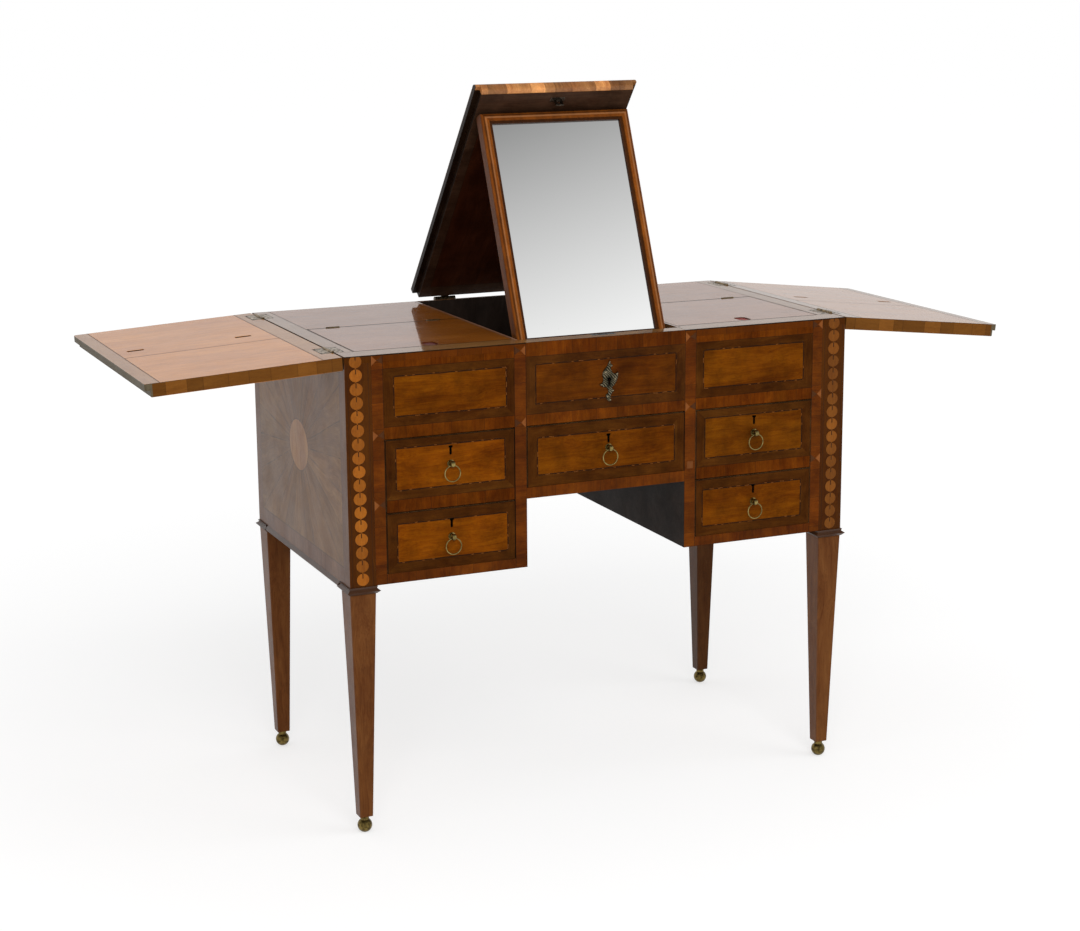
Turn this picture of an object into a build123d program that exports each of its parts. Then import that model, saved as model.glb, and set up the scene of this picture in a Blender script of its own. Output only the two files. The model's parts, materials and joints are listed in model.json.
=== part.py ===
"""Fold-out dressing table: a veneered case on tapered legs.

The top folds open in three parts. Two leaves swing out to the sides, and the middle flap swings up
and carries a hinged mirror that folds flat into a well. Millimetres, +Z up, the front faces -Y and
the origin is on the floor under the middle of the case.
"""
from build123d import *
from math import cos, radians, sin
import os

# ---------------------------------------------------------------- overall sizes
case_width = 886
case_depth = 488
case_top = 780
case_bottom = 414

# carcass boards
post_width = 43
stile_thickness = 19
partition_thickness = 20
side_panel_thickness = 18
back_panel_thickness = 8
bottom_board_thickness = 16
dust_board_thickness = 8
top_board_thickness = 12
front_thickness = 20
well_width = 283
well_rail_thickness = 28
well_floor_level = 616
well_floor_thickness = 6
well_lining_thickness = 6

# drawer fronts and the rails round the kneehole
front_gap = 1.2
front_seat_gap = 0.6
front_head_gap = 1.8
lower_front_height = 95.7
upper_front_height = 115.9
centre_front_height = 98.4
apron_height = 18
kneehole_board_thickness = 8
drawer_side_thickness = 10
drawer_bottom_thickness = 5
drawer_side_gap = 1.5
drawer_slide_gap = 0.3
drawer_rear_space = 34
drawer_head_space = 6
centre_drawer_head_space = 5
drawer_bottom_rise = 4

# compartments beside the well and their lids
lid_rear_line = 32
lid_front_margin = 41
lid_outer_margin = 30
lid_inner_strip = 5
lid_edge_gap = 0.6
lid_seat_gap = 0.3
lid_bearing = 8
ledge_height = 12
compartment_wall_thickness = 18
compartment_floor_thickness = 8
tab_recess_width = 22
tab_recess_length = 30
tab_recess_depth = 4
tab_thickness = 2.5
tab_front_margin = 4
tab_margin = 1.5

# legs
leg_foot_width = 22
leg_foot_level = 28
leg_arris = 1.2
collar_height = 12
collar_reach = 6
collar_foot_reach = 1
collar_cove_reach = 1.2
collar_head_reach = 2.2
ball_radius = 12
ball_flat = 0.6
neck_radius = 7
moulding_height = 10
moulding_reach = 4.5
moulding_foot_reach = 1

# folding top
leaf_thickness = 21
fold_gap = 0.3
leaf_pin_offset = 1.5
leaf_pin_rise = 0.15
leaf_droop_left = 3.1
leaf_droop_right = 6.5
lap_height = 10.5
lap_width = 8
lap_gap = 0.5
flap_half_width = 144.5
flap_raise_angle = 50.4
flap_pin_behind = 8
edge_chamfer = 1
leaf_corner_chamfer = 3
flap_nosing = 8

# mirror
mirror_half_width = 133
mirror_thickness = 22
mirror_rail_width = 18
mirror_turn_angle = 62.1
mirror_pin_margin = 27.5
mirror_foot_margin = 32
mirror_pin_drop = 4
mirror_pin_inset = 2.5
mirror_gap = 0.6
mirror_outer_rounding = 6
mirror_bead_width = 4
mirror_bead_depth = 2.5
mirror_back_thickness = 4
glass_thickness = 4
glass_rebate = 6
glass_setback = 6
glass_clearance = 0.3
foot_chamfer_depth = 3
foot_chamfer_angle = 28
foot_seat_gap = 0.3
rest_batten_height = 28

# brass
plate_thickness = 2
knuckle_gap = 0.3
pin_clearance = 0.06
leaf_hinge_length = 44
leaf_hinge_plate = 16
leaf_hinge_corner = 7
leaf_knuckle_radius = 2.4
leaf_pin_radius = 1.1
leaf_hinge_rear_margin = 49
leaf_hinge_front_margin = 70
lid_hinge_length = 23
lid_hinge_plate = 6
lid_hinge_corner = 1
lid_knuckle_radius = 1.6
lid_pin_radius = 0.7
lid_plate_thickness = 1.5
lid_hinge_inset = 33
flap_hinge_width = 39
flap_hinge_centre = 85
flap_knuckle_radius = 4.5
flap_pin_radius = 2
flap_plate_thickness = 2.5
flap_plate_height = 24
flap_barrel_rise = 0.5
flap_leaf_drop = 1.5
flap_arm_low_margin = 3
flap_arm_high_margin = 2
flap_web_rise = 1
flap_web_thickness = 4
mirror_hinge_width = 30
mirror_hinge_centre = 75
mirror_knuckle_radius = 3
mirror_pin_radius = 1.3
mirror_plate_depth = 14
mirror_plate_thickness = 1.5
mirror_web_half = 1.5
mirror_notch_space = 1
slot_width = 10
slot_depth = 2.3
slot_end_space = 2

lock_centre = 3
lock_width = 42
lock_height = 47
lock_depth = 15
staple_back = 24
staple_length = 13
staple_width = 14
staple_thickness = 2
staple_window = 6
staple_window_margin = 3
staple_base_width = 26
staple_base_depth = 10
staple_base_thickness = 1.2
staple_slot_space = 1.5
escutcheon_level = 707
escutcheon_thickness = 1.6
case_keyhole_radius = 3
case_keyhole_rise = 3
case_keyhole_slit = 2.6
case_keyhole_drop = 7

upper_pull_level = 596
lower_pull_level = 478
pull_reach = 7.5
pull_eye_radius = 5.5
pull_eye_width = 6.4
pull_eye_hole = 1.75
pull_eye_rise = 2
pull_stem_radius = 2.6
ring_radius = 13
ring_wire = 1
rose_radius = 6
rose_thickness = 1
drawer_lock_width = 36
drawer_lock_height = 34
drawer_lock_depth = 8
keyhole_width = 4
keyhole_height = 15
keyhole_bar_width = 7
keyhole_bar_height = 3.4
drawer_lock_rise = 6
drawer_lock_margin = 2
side_keyhole_drop = 17.2
centre_keyhole_drop = 23.4

# ---------------------------------------------------------------- planes and levels that follow
half_width = case_width / 2
half_depth = case_depth / 2
well_half = well_width / 2
front_face = -half_depth
rear_face = half_depth
front_back = front_face + front_thickness
panel_face = rear_face - back_panel_thickness
post_inner = half_width - post_width
stile_inner = post_inner - stile_thickness
bay_inner = well_half + partition_thickness
board_top = case_top - top_board_thickness

bottom_top = case_bottom + bottom_board_thickness
lower_front_bottom = bottom_top + front_seat_gap
lower_front_top = lower_front_bottom + lower_front_height
upper_front_bottom = lower_front_top + front_head_gap
upper_front_top = upper_front_bottom + upper_front_height
frieze_bottom = upper_front_top + front_head_gap
centre_front_top = frieze_bottom - front_head_gap
centre_front_bottom = centre_front_top - centre_front_height
apron_top = centre_front_bottom - front_seat_gap
apron_bottom = apron_top - apron_height

well_front = front_face + well_rail_thickness
well_floor_bottom = well_floor_level - well_floor_thickness
lid_front_line = front_face + lid_front_margin
lid_outer_line = half_width - lid_outer_margin
lid_inner_line = well_half + lid_inner_strip
compartment_top = board_top
compartment_wall_front = lid_rear_line - lid_bearing

leaf_pin = (half_width + leaf_pin_offset, case_top + leaf_pin_rise)
leaf_top_closed = case_top + fold_gap + leaf_thickness
leaf_outer_edge = leaf_pin[0] - flap_half_width - lap_gap
leaf_tongue_edge = leaf_outer_edge + lap_width
flap_inner_half = flap_half_width + lap_gap - lap_width - 2 * lap_gap
flap_pin = (rear_face + flap_pin_behind, case_top)
flap_rear = rear_face + lap_gap
flap_front = front_face
flap_underside = case_top + fold_gap
flap_lap_level = flap_underside + lap_height + fold_gap

mirror_pin = (well_front + mirror_pin_margin, case_top - mirror_pin_drop)
mirror_top_edge = mirror_pin[0] - mirror_pin_inset
mirror_foot_edge = panel_face - mirror_foot_margin
mirror_back_face = flap_underside - mirror_gap
mirror_front_face = mirror_back_face - mirror_thickness

side_pull = (bay_inner + stile_inner) / 2


# ---------------------------------------------------------------- helpers
def block(x0, x1, y0, y1, z0, z1):
    """Rectangular board between six planes."""
    centre = Pos((x0 + x1) / 2, (y0 + y1) / 2, (z0 + z1) / 2)
    return centre * Box(x1 - x0, y1 - y0, z1 - z0)


def rod(radius, length, centre, axis="X"):
    """Cylinder of the given length, centred on a point, along X, Y or Z."""
    turn = {"X": Rot(0, 90, 0), "Y": Rot(90, 0, 0), "Z": Rot(0, 0, 0)}[axis]
    return Pos(*centre) * turn * Cylinder(radius, length)


def extruded_x(points, x0, x1):
    """Prism along X with its section given as (y, z) corners."""
    outline = Polyline(*[(x0, y, z) for y, z in points], close=True)
    return extrude(make_face(outline), amount=x1 - x0, dir=(1, 0, 0))


def extruded_y(points, y0, y1):
    """Prism along Y with its section given as (x, z) corners."""
    outline = Polyline(*[(x, y0, z) for x, z in points], close=True)
    return extrude(make_face(outline), amount=y1 - y0, dir=(0, 1, 0))


def mirrored(shape):
    """The same piece on the other side of the middle plane."""
    return mirror(shape, about=Plane.YZ)


def turned(shape, point, angle, axis):
    """Shape turned by an angle about a line through a point along X or Y."""
    turn = Rot(angle, 0, 0) if axis == "X" else Rot(0, angle, 0)
    return Pos(*point) * turn * Pos(*[-value for value in point]) * shape


def save(name, *solids):
    """Write one node: a single solid, or several as a group."""
    pieces = []
    for solid in solids:
        pieces.extend(solid.solids())
    shape = pieces[0] if len(pieces) == 1 else Compound(children=pieces)
    export_step(shape, f"parts/{name}.step")


# ---------------------------------------------------------------- hinges
def flush_hinge(length, width, thickness, corner, knuckle, pin, edge, drop):
    """Butt hinge let in flush, opened flat, with its pin along X through the origin.

    The fixed half lies towards +Y and the moving half towards -Y. Both plates start at the
    distance `edge` from the pin, with their faces `drop` below it. The fixed half carries the
    two outer knuckles and the pin, and the moving half carries the middle knuckle.
    """
    plate_outline = Pos(0, (edge + width) / 2, -drop - thickness / 2) * Box(length, edge + width, thickness)
    far_corners = plate_outline.edges().filter_by(Axis.Z).sort_by(Axis.Y)[2:]
    plate = fillet(far_corners, corner)
    inner = length / 3
    outer = (length - inner) / 2 - knuckle_gap
    outer_centre = length / 2 - outer / 2
    clear = knuckle + knuckle_gap
    barrels = [rod(knuckle, outer, (side * outer_centre, 0, 0)) for side in (-1, 1)]
    barrel_clear = [rod(clear, outer + knuckle_gap, (side * outer_centre, 0, 0)) for side in (-1, 1)]
    middle_clear = rod(clear, inner + 2 * knuckle_gap, (0, 0, 0))
    fixed = plate - middle_clear + barrels[0] + barrels[1] + rod(pin, length, (0, 0, 0))
    moving = mirror(plate, about=Plane.XZ) - barrel_clear[0] - barrel_clear[1]
    moving = moving + rod(knuckle, inner, (0, 0, 0)) - rod(pin + pin_clearance, length, (0, 0, 0))
    return fixed, moving


def flush_hinge_pocket(length, width, thickness, corner, knuckle, edge, drop):
    """Space to cut from both boards for a flush hinge: the plate recess and the knuckle groove."""
    recess = Pos(0, 0, -drop - thickness / 2) * Box(length, 2 * (edge + width), thickness)
    recess = fillet(recess.edges().filter_by(Axis.Z), corner)
    return recess + rod(knuckle + knuckle_gap, length + 2 * knuckle_gap, (0, 0, 0))


leaf_hinge_sizes = (leaf_hinge_length, leaf_hinge_plate, plate_thickness, leaf_hinge_corner,
                    leaf_knuckle_radius)
leaf_hinge_drop = leaf_pin_rise
lid_hinge_sizes = (lid_hinge_length, lid_hinge_plate, lid_plate_thickness, lid_hinge_corner,
                   lid_knuckle_radius)
leaf_hinge_stations = (rear_face - leaf_hinge_rear_margin, front_face + leaf_hinge_front_margin)
lid_hinge_stations = (lid_inner_line + lid_hinge_inset + lid_hinge_length / 2,
                      lid_outer_line - lid_hinge_inset - lid_hinge_length / 2)


def at_leaf_pin(y):
    """Place of a right leaf hinge: pin along Y, the fixed half towards the case."""
    return Pos(leaf_pin[0], y, leaf_pin[1]) * Rot(0, 0, 90)


def at_lid_pin(x):
    """Place of a right lid hinge on the rear line of the lid."""
    return Pos(x, lid_rear_line, case_top)


leaf_fixed, leaf_moving = flush_hinge(*leaf_hinge_sizes, leaf_pin_radius, leaf_pin_offset, leaf_hinge_drop)
lid_fixed, lid_moving = flush_hinge(*lid_hinge_sizes, lid_pin_radius, lid_edge_gap, 0)
leaf_hinge_cut = flush_hinge_pocket(*leaf_hinge_sizes, leaf_pin_offset, leaf_hinge_drop)
lid_hinge_cut = flush_hinge_pocket(*lid_hinge_sizes, lid_edge_gap, 0)
leaf_cuts = [at_leaf_pin(y) * leaf_hinge_cut for y in leaf_hinge_stations]
lid_cuts = [at_lid_pin(x) * lid_hinge_cut for x in lid_hinge_stations]


# ---------------------------------------------------------------- legs, collars and feet
def leg(x_sign, y_sign):
    """Square post under the top board that runs on as a tapered leg."""
    x = x_sign * (half_width - post_width / 2)
    y = y_sign * (half_depth - post_width / 2)
    taper_top = case_bottom - collar_height
    post = Pos(x, y, (taper_top + board_top) / 2) * Box(post_width, post_width, board_top - taper_top)
    wide = Plane((x, y, taper_top)) * Rectangle(post_width, post_width)
    narrow = Plane((x, y, leg_foot_level)) * Rectangle(leg_foot_width, leg_foot_width)
    taper = loft([narrow, wide])
    long_edges = [edge for edge in taper.edges() if edge.length > taper_top / 2]
    taper = chamfer(long_edges, leg_arris)
    return post + taper


def collar(x_sign, y_sign):
    """Pointed astragal with a cove above it, mitred round a leg head."""
    x = x_sign * (half_width - post_width / 2)
    y = y_sign * (half_depth - post_width / 2)
    low = case_bottom - collar_height
    tip = low + collar_height * 0.4
    cove = tip + collar_height * 0.3
    half = post_width / 2
    ring = Pos(x, y, (low + case_bottom) / 2) * Box(post_width + 2 * collar_reach,
                                                    post_width + 2 * collar_reach, collar_height)
    for turn in range(4):
        face = [(half + collar_reach, low), (half + collar_foot_reach, low), (half + collar_reach, tip)]
        top = [(half + collar_reach, tip), (half + collar_cove_reach, cove),
               (half + collar_head_reach, case_bottom), (half + collar_reach, case_bottom)]
        for points in (face, top):
            cutter = extruded_x(points, -post_width, post_width)
            ring = ring - Pos(x, y, 0) * Rot(0, 0, 90 * turn) * cutter
    bore = Pos(x, y, (low + case_bottom) / 2) * Box(post_width, post_width, collar_height)
    return ring - bore


def ball_foot(x_sign, y_sign):
    """Turned brass ball with a flat sole and a short neck under the leg."""
    x = x_sign * (half_width - post_width / 2)
    y = y_sign * (half_depth - post_width / 2)
    centre = ball_radius - ball_flat
    ball = Pos(x, y, centre) * Sphere(ball_radius)
    sole = Pos(x, y, -ball_radius) * Box(3 * ball_radius, 3 * ball_radius, 2 * ball_radius)
    neck = rod(neck_radius, leg_foot_level - centre, (x, y, (leg_foot_level + centre) / 2), "Z")
    return ball + neck - sole


def side_moulding(x_sign):
    """Half-round strip under the side panel, between the leg collars."""
    x0 = half_width - side_panel_thickness
    z1 = case_bottom
    z0 = z1 - moulding_height
    x1 = half_width + moulding_reach
    points = [(x0, z0), (half_width + moulding_foot_reach, z0), (x1, z0 + moulding_height * 0.4), (half_width, z1), (x0, z1)]
    reach = half_depth - post_width - collar_reach
    strip = extruded_y(points, -reach, reach)
    return strip if x_sign > 0 else mirrored(strip)


corners = [(x_sign, y_sign) for y_sign in (-1, 1) for x_sign in (-1, 1)]


# ---------------------------------------------------------------- the case
side_panel = block(half_width - side_panel_thickness, half_width, -half_depth + post_width,
                   half_depth - post_width, case_bottom, board_top)
partition = block(well_half, bay_inner, front_face, rear_face, case_bottom, board_top)
stile = block(stile_inner, post_inner, front_face, panel_face, case_bottom, board_top)
back_panel = block(bay_inner, post_inner, panel_face, rear_face, case_bottom, board_top)
bottom_board = block(bay_inner, stile_inner, front_face, panel_face, case_bottom, bottom_top)
dust_board = block(bay_inner, stile_inner, front_back + front_gap, panel_face,
                   upper_front_bottom - drawer_slide_gap - dust_board_thickness,
                   upper_front_bottom - drawer_slide_gap)
frieze = block(bay_inner, stile_inner, front_face, front_back, frieze_bottom, board_top)
lid_ledge = block(bay_inner, stile_inner, front_back, lid_front_line + lid_bearing,
                  compartment_top - ledge_height, compartment_top)
compartment_wall = block(bay_inner, stile_inner, compartment_wall_front,
                         compartment_wall_front + compartment_wall_thickness,
                         frieze_bottom + compartment_floor_thickness, compartment_top)
compartment_floor = block(bay_inner, stile_inner, front_back,
                          compartment_wall_front + compartment_wall_thickness,
                          frieze_bottom, frieze_bottom + compartment_floor_thickness)

top_board = block(well_half, half_width, front_face, rear_face, board_top, case_top)
top_board = top_board - block(lid_inner_line, lid_outer_line, lid_front_line, lid_rear_line,
                              board_top, case_top)
for cut in leaf_cuts + lid_cuts:
    top_board = top_board - cut

centre_frieze = block(-well_half, well_half, front_face, well_front, frieze_bottom, case_top)
lock_x0 = lock_centre - lock_width / 2
lock_x1 = lock_centre + lock_width / 2
lock_recess = block(lock_x0, lock_x1, well_front - lock_depth, well_front,
                    case_top - lock_height, case_top)
case_keyhole_level = escutcheon_level + case_keyhole_rise
keyhole_front = front_face - escutcheon_thickness
case_keyhole = rod(case_keyhole_radius, well_front - keyhole_front,
                   (lock_centre, (keyhole_front + well_front) / 2, case_keyhole_level), "Y")
case_keyhole = case_keyhole + block(lock_centre - case_keyhole_slit / 2, lock_centre + case_keyhole_slit / 2,
                                    keyhole_front, well_front, escutcheon_level - case_keyhole_drop,
                                    case_keyhole_level)
centre_frieze = centre_frieze - lock_recess - case_keyhole

staple_y = flap_front + staple_back
slot_half = staple_width / 2 + staple_slot_space
well_lock = lock_recess - block(lock_centre - slot_half, lock_centre + slot_half,
                                staple_y - staple_thickness / 2 - staple_slot_space,
                                staple_y + staple_thickness / 2 + staple_slot_space,
                                case_top - staple_length - 2 * staple_slot_space, case_top)

apron_rail = block(-well_half, well_half, front_face, front_back, apron_bottom, apron_top)
kneehole_board = block(-well_half, well_half, front_back, panel_face,
                       apron_top - kneehole_board_thickness, apron_top)
kneehole_back = block(-well_half, well_half, panel_face, rear_face,
                      apron_top - kneehole_board_thickness, case_top)
well_floor = block(-well_half, well_half, well_front, panel_face, well_floor_bottom, well_floor_level)
well_lining = block(-well_half, well_half, well_front - well_lining_thickness, well_front,
                    well_floor_bottom, frieze_bottom)

# rest for the foot of the raised mirror, its face square to the chamfer on the frame
slope = radians(foot_chamfer_angle)


def raised(y, z):
    """Where a point of the folded mirror stands when flap and mirror are raised."""
    for (pin_y, pin_z), angle in ((mirror_pin, mirror_turn_angle), (flap_pin, flap_raise_angle)):
        turn = radians(angle)
        dy = y - pin_y
        dz = z - pin_z
        y = pin_y + dy * cos(turn) + dz * sin(turn)
        z = pin_z - dy * sin(turn) + dz * cos(turn)
    return y, z


foot_y, foot_z = raised(mirror_foot_edge, mirror_front_face)
seat_y = foot_y + (foot_chamfer_depth - foot_seat_gap) * cos(slope)
seat_z = foot_z + (foot_chamfer_depth - foot_seat_gap) * sin(slope)
rest_low = seat_z - rest_batten_height / 2
rest_high = seat_z + rest_batten_height / 2


def seat_line(z):
    """Depth of the sloping seat at a height."""
    return seat_y - (z - seat_z) * sin(slope) / cos(slope)


rest_batten = extruded_x([(well_front, rest_low), (seat_line(rest_low), rest_low),
                          (seat_line(rest_high), rest_high), (well_front, rest_high)],
                         -well_half, well_half)

# ---------------------------------------------------------------- lids
lid_x0 = lid_inner_line + lid_edge_gap
lid_x1 = lid_outer_line - lid_edge_gap
tab_x = (lid_x0 + lid_x1) / 2
tab_y0 = lid_front_line + lid_edge_gap + tab_front_margin
lid = block(lid_x0, lid_x1, lid_front_line + lid_edge_gap, lid_rear_line - lid_edge_gap,
            board_top + lid_seat_gap, case_top)
tab_recess = block(tab_x - tab_recess_width / 2, tab_x + tab_recess_width / 2, tab_y0,
                   tab_y0 + tab_recess_length, case_top - tab_recess_depth, case_top)
lid = lid - fillet(tab_recess.edges().filter_by(Axis.Z), tab_recess_width / 3)
for cut in lid_cuts:
    lid = lid - cut
tab_floor = case_top - tab_recess_depth
tab = block(tab_x - tab_recess_width / 2 + tab_margin, tab_x + tab_recess_width / 2 - tab_margin,
            tab_y0 + tab_margin, tab_y0 + tab_recess_length - tab_margin,
            tab_floor, tab_floor + tab_thickness)
tab = fillet(tab.edges().filter_by(Axis.Z), tab_recess_width / 3)


# ---------------------------------------------------------------- leaves and flap
def flat_leaf():
    """Right leaf opened level, with its hinge recesses, lap and knuckle slots."""
    x0 = half_width + 2 * leaf_pin_offset
    x1 = leaf_pin[0] + leaf_outer_edge
    x2 = leaf_pin[0] + leaf_tongue_edge
    z1 = case_top
    z0 = z1 - leaf_thickness
    board = block(x0, x1, front_face, rear_face, z0, z1)
    board = chamfer(board.faces().sort_by(Axis.Z)[0].edges(), edge_chamfer)
    tongue = block(x1, x2, front_face, rear_face, z1 - lap_height, z1)
    board = board + chamfer(tongue.edges().filter_by(Axis.Z).sort_by(Axis.X)[2:], leaf_corner_chamfer)
    for cut in leaf_cuts:
        board = board - cut
    for x in lid_hinge_stations:
        folded_x = 2 * leaf_pin[0] - x
        slot = block(folded_x - lid_hinge_length / 2 - slot_end_space,
                     folded_x + lid_hinge_length / 2 + slot_end_space,
                     lid_rear_line - slot_width / 4, lid_rear_line + slot_width * 3 / 4,
                     z1 - slot_depth, z1)
        board = board - slot
    return board


def hung(shape, droop):
    """Piece of the right leaf turned down about the leaf pin."""
    return turned(shape, (leaf_pin[0], 0, leaf_pin[1]), droop, "Y")


level_leaf = flat_leaf()
leaf_half_hinges = [at_leaf_pin(y) * leaf_moving for y in leaf_hinge_stations]
case_half_hinges = [at_leaf_pin(y) * leaf_fixed for y in leaf_hinge_stations]
lid_half_hinges = [at_lid_pin(x) * lid_moving for x in lid_hinge_stations]
lid_case_hinges = [at_lid_pin(x) * lid_fixed for x in lid_hinge_stations]

flap = block(-flap_half_width, flap_half_width, flap_front, flap_rear, flap_lap_level, leaf_top_closed)
flap = flap + block(-flap_inner_half, flap_inner_half, flap_front, flap_rear, flap_underside,
                    flap_lap_level)
nose_edges = [edge for edge in flap.edges().filter_by(Axis.X)
              if abs(edge.center().Y - flap_front) < 0.01
              and (abs(edge.center().Z - leaf_top_closed) < 0.01 or abs(edge.center().Z - flap_underside) < 0.01)]
flap = fillet(nose_edges, flap_nosing)
staple_base = block(lock_centre - staple_base_width / 2, lock_centre + staple_base_width / 2,
                    staple_y - staple_base_depth / 2, staple_y + staple_base_depth / 2,
                    flap_underside, flap_underside + staple_base_thickness)
mirror_hinge_plates = []
for side in (-1, 1):
    mirror_hinge_plates.append(block(side * mirror_hinge_centre - mirror_hinge_width / 2,
                                     side * mirror_hinge_centre + mirror_hinge_width / 2,
                                     mirror_pin[0] - mirror_knuckle_radius, mirror_pin[0] + mirror_plate_depth,
                                     flap_underside, flap_underside + mirror_plate_thickness))
flap = flap - staple_base - mirror_hinge_plates[0] - mirror_hinge_plates[1]
staple_loop = block(lock_centre - staple_width / 2, lock_centre + staple_width / 2,
                    staple_y - staple_thickness / 2, staple_y + staple_thickness / 2,
                    case_top - staple_length, flap_underside)
staple_gap = block(lock_centre - staple_window / 2, lock_centre + staple_window / 2,
                   staple_y - staple_thickness, staple_y + staple_thickness,
                   case_top - staple_length + staple_window_margin, case_top - staple_window_margin)
staple = staple_base + staple_loop - staple_gap


# hinges on the rear faces of the case and the flap
def three_knuckles(width, radius, pin_radius, centre):
    """Outer knuckles with their pin, the middle knuckle with its bore, and both axial clearances."""
    inner = width / 3
    outer = (width - inner) / 2 - knuckle_gap
    offset = width / 2 - outer / 2
    x, y, z = centre
    fixed = [rod(radius, outer, (x + side * offset, y, z)) for side in (-1, 1)]
    fixed.append(rod(pin_radius, width, centre))
    moving = rod(radius, inner, centre)
    bore = rod(pin_radius + pin_clearance, width, centre)
    spans = [(x - width / 2, x - width / 2 + outer), (x + width / 2 - outer, x + width / 2)]
    return fixed, moving, bore, spans, (x - inner / 2, x + inner / 2)


flap_case_hinges = []
flap_arm_hinges = []
for side in (-1, 1):
    centre = (side * flap_hinge_centre, flap_pin[0], flap_pin[1])
    fixed, moving, bore, outer_spans, middle_span = three_knuckles(
        flap_hinge_width, flap_knuckle_radius, flap_pin_radius, centre)
    x0 = centre[0] - flap_hinge_width / 2
    x1 = centre[0] + flap_hinge_width / 2
    web_reach = flap_knuckle_radius - flap_barrel_rise
    plate = block(x0, x1, rear_face, rear_face + flap_plate_thickness,
                  case_top - flap_plate_height, case_top - web_reach)
    for barrel in fixed:
        plate = plate + barrel
    for a, b in outer_spans:
        plate = plate + block(a, b, rear_face, flap_pin[0], case_top - flap_knuckle_radius,
                              case_top - flap_leaf_drop)
    plate = plate - rod(flap_knuckle_radius + knuckle_gap, middle_span[1] - middle_span[0] + 2 * knuckle_gap,
                        centre)
    plate = plate + fixed[2]
    flap_case_hinges.append(plate)
    arm = block(x0, x1, flap_rear, flap_rear + flap_plate_thickness, flap_underside + flap_arm_low_margin,
                leaf_top_closed - flap_arm_high_margin)
    web = block(middle_span[0], middle_span[1], flap_rear, flap_pin[0], case_top + flap_web_rise,
                case_top + flap_web_rise + flap_web_thickness)
    flap_arm_hinges.append(arm + web + moving - bore)

# ---------------------------------------------------------------- mirror
mirror_frame = block(-mirror_half_width, mirror_half_width, mirror_top_edge, mirror_foot_edge,
                     mirror_front_face, mirror_back_face)
front_outer = mirror_frame.faces().sort_by(Axis.Z)[0].edges().sort_by(Axis.Y)[:3]
mirror_frame = fillet(front_outer, mirror_outer_rounding)
sight_x = mirror_half_width - mirror_rail_width
sight_y0 = mirror_top_edge + mirror_rail_width
sight_y1 = mirror_foot_edge - mirror_rail_width
rebate_x = sight_x + glass_rebate
rebate_y0 = sight_y0 - glass_rebate
rebate_y1 = sight_y1 + glass_rebate
back_level = mirror_back_face - mirror_back_thickness
glass_front = mirror_front_face + glass_setback
glass_back = glass_front + glass_thickness

back_top = [edge for edge in mirror_frame.edges().filter_by(Axis.X)
            if abs(edge.center().Y - mirror_top_edge) < 0.01 and abs(edge.center().Z - mirror_back_face) < 0.01]
mirror_frame = fillet(back_top, mirror_pin_inset)
bead = block(-sight_x - mirror_bead_width, sight_x + mirror_bead_width, sight_y0 - mirror_bead_width,
             sight_y1 + mirror_bead_width, mirror_front_face, mirror_front_face + mirror_bead_depth)
mirror_frame = mirror_frame - bead
bead_edges = [edge for edge in mirror_frame.faces().sort_by(Axis.Z)[0].edges()
              if abs(edge.center().X) < sight_x + mirror_bead_width + 0.1
              and sight_y0 - mirror_bead_width - 0.1 < edge.center().Y < sight_y1 + mirror_bead_width + 0.1]
mirror_frame = fillet(bead_edges, mirror_bead_depth - 0.1)
mirror_frame = mirror_frame - block(-sight_x, sight_x, sight_y0, sight_y1, mirror_front_face, mirror_back_face)
mirror_frame = mirror_frame - block(-rebate_x, rebate_x, rebate_y0, rebate_y1, glass_front, mirror_back_face)

# the chamfer that meets the rest batten, drawn where the foot stands and turned back to the fold
cut_y = foot_y + foot_chamfer_depth * cos(slope)
cut_z = foot_z + foot_chamfer_depth * sin(slope)
along_y = mirror_thickness * sin(slope)
along_z = mirror_thickness * cos(slope)
foot_cut = extruded_x([(cut_y - along_y, cut_z + along_z), (cut_y + along_y, cut_z - along_z),
                       (cut_y + along_y - along_z, cut_z - along_z - along_y),
                       (cut_y - along_y - along_z, cut_z + along_z - along_y)],
                      -mirror_half_width, mirror_half_width)


def raise_with_flap(shape):
    """Turn a folded piece up with the flap."""
    return turned(shape, (0, flap_pin[0], flap_pin[1]), -flap_raise_angle, "X")


def raise_with_mirror(shape):
    """Turn a folded piece out with the mirror, then up with the flap."""
    opened = turned(shape, (0, mirror_pin[0], mirror_pin[1]), -mirror_turn_angle, "X")
    return raise_with_flap(opened)


mirror_glass = block(-rebate_x + glass_clearance, rebate_x - glass_clearance, rebate_y0 + glass_clearance,
                     rebate_y1 - glass_clearance, glass_front, glass_back)
mirror_back = block(-rebate_x + glass_clearance, rebate_x - glass_clearance, rebate_y0 + glass_clearance,
                    rebate_y1 - glass_clearance, glass_back, glass_back + mirror_back_thickness)

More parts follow.
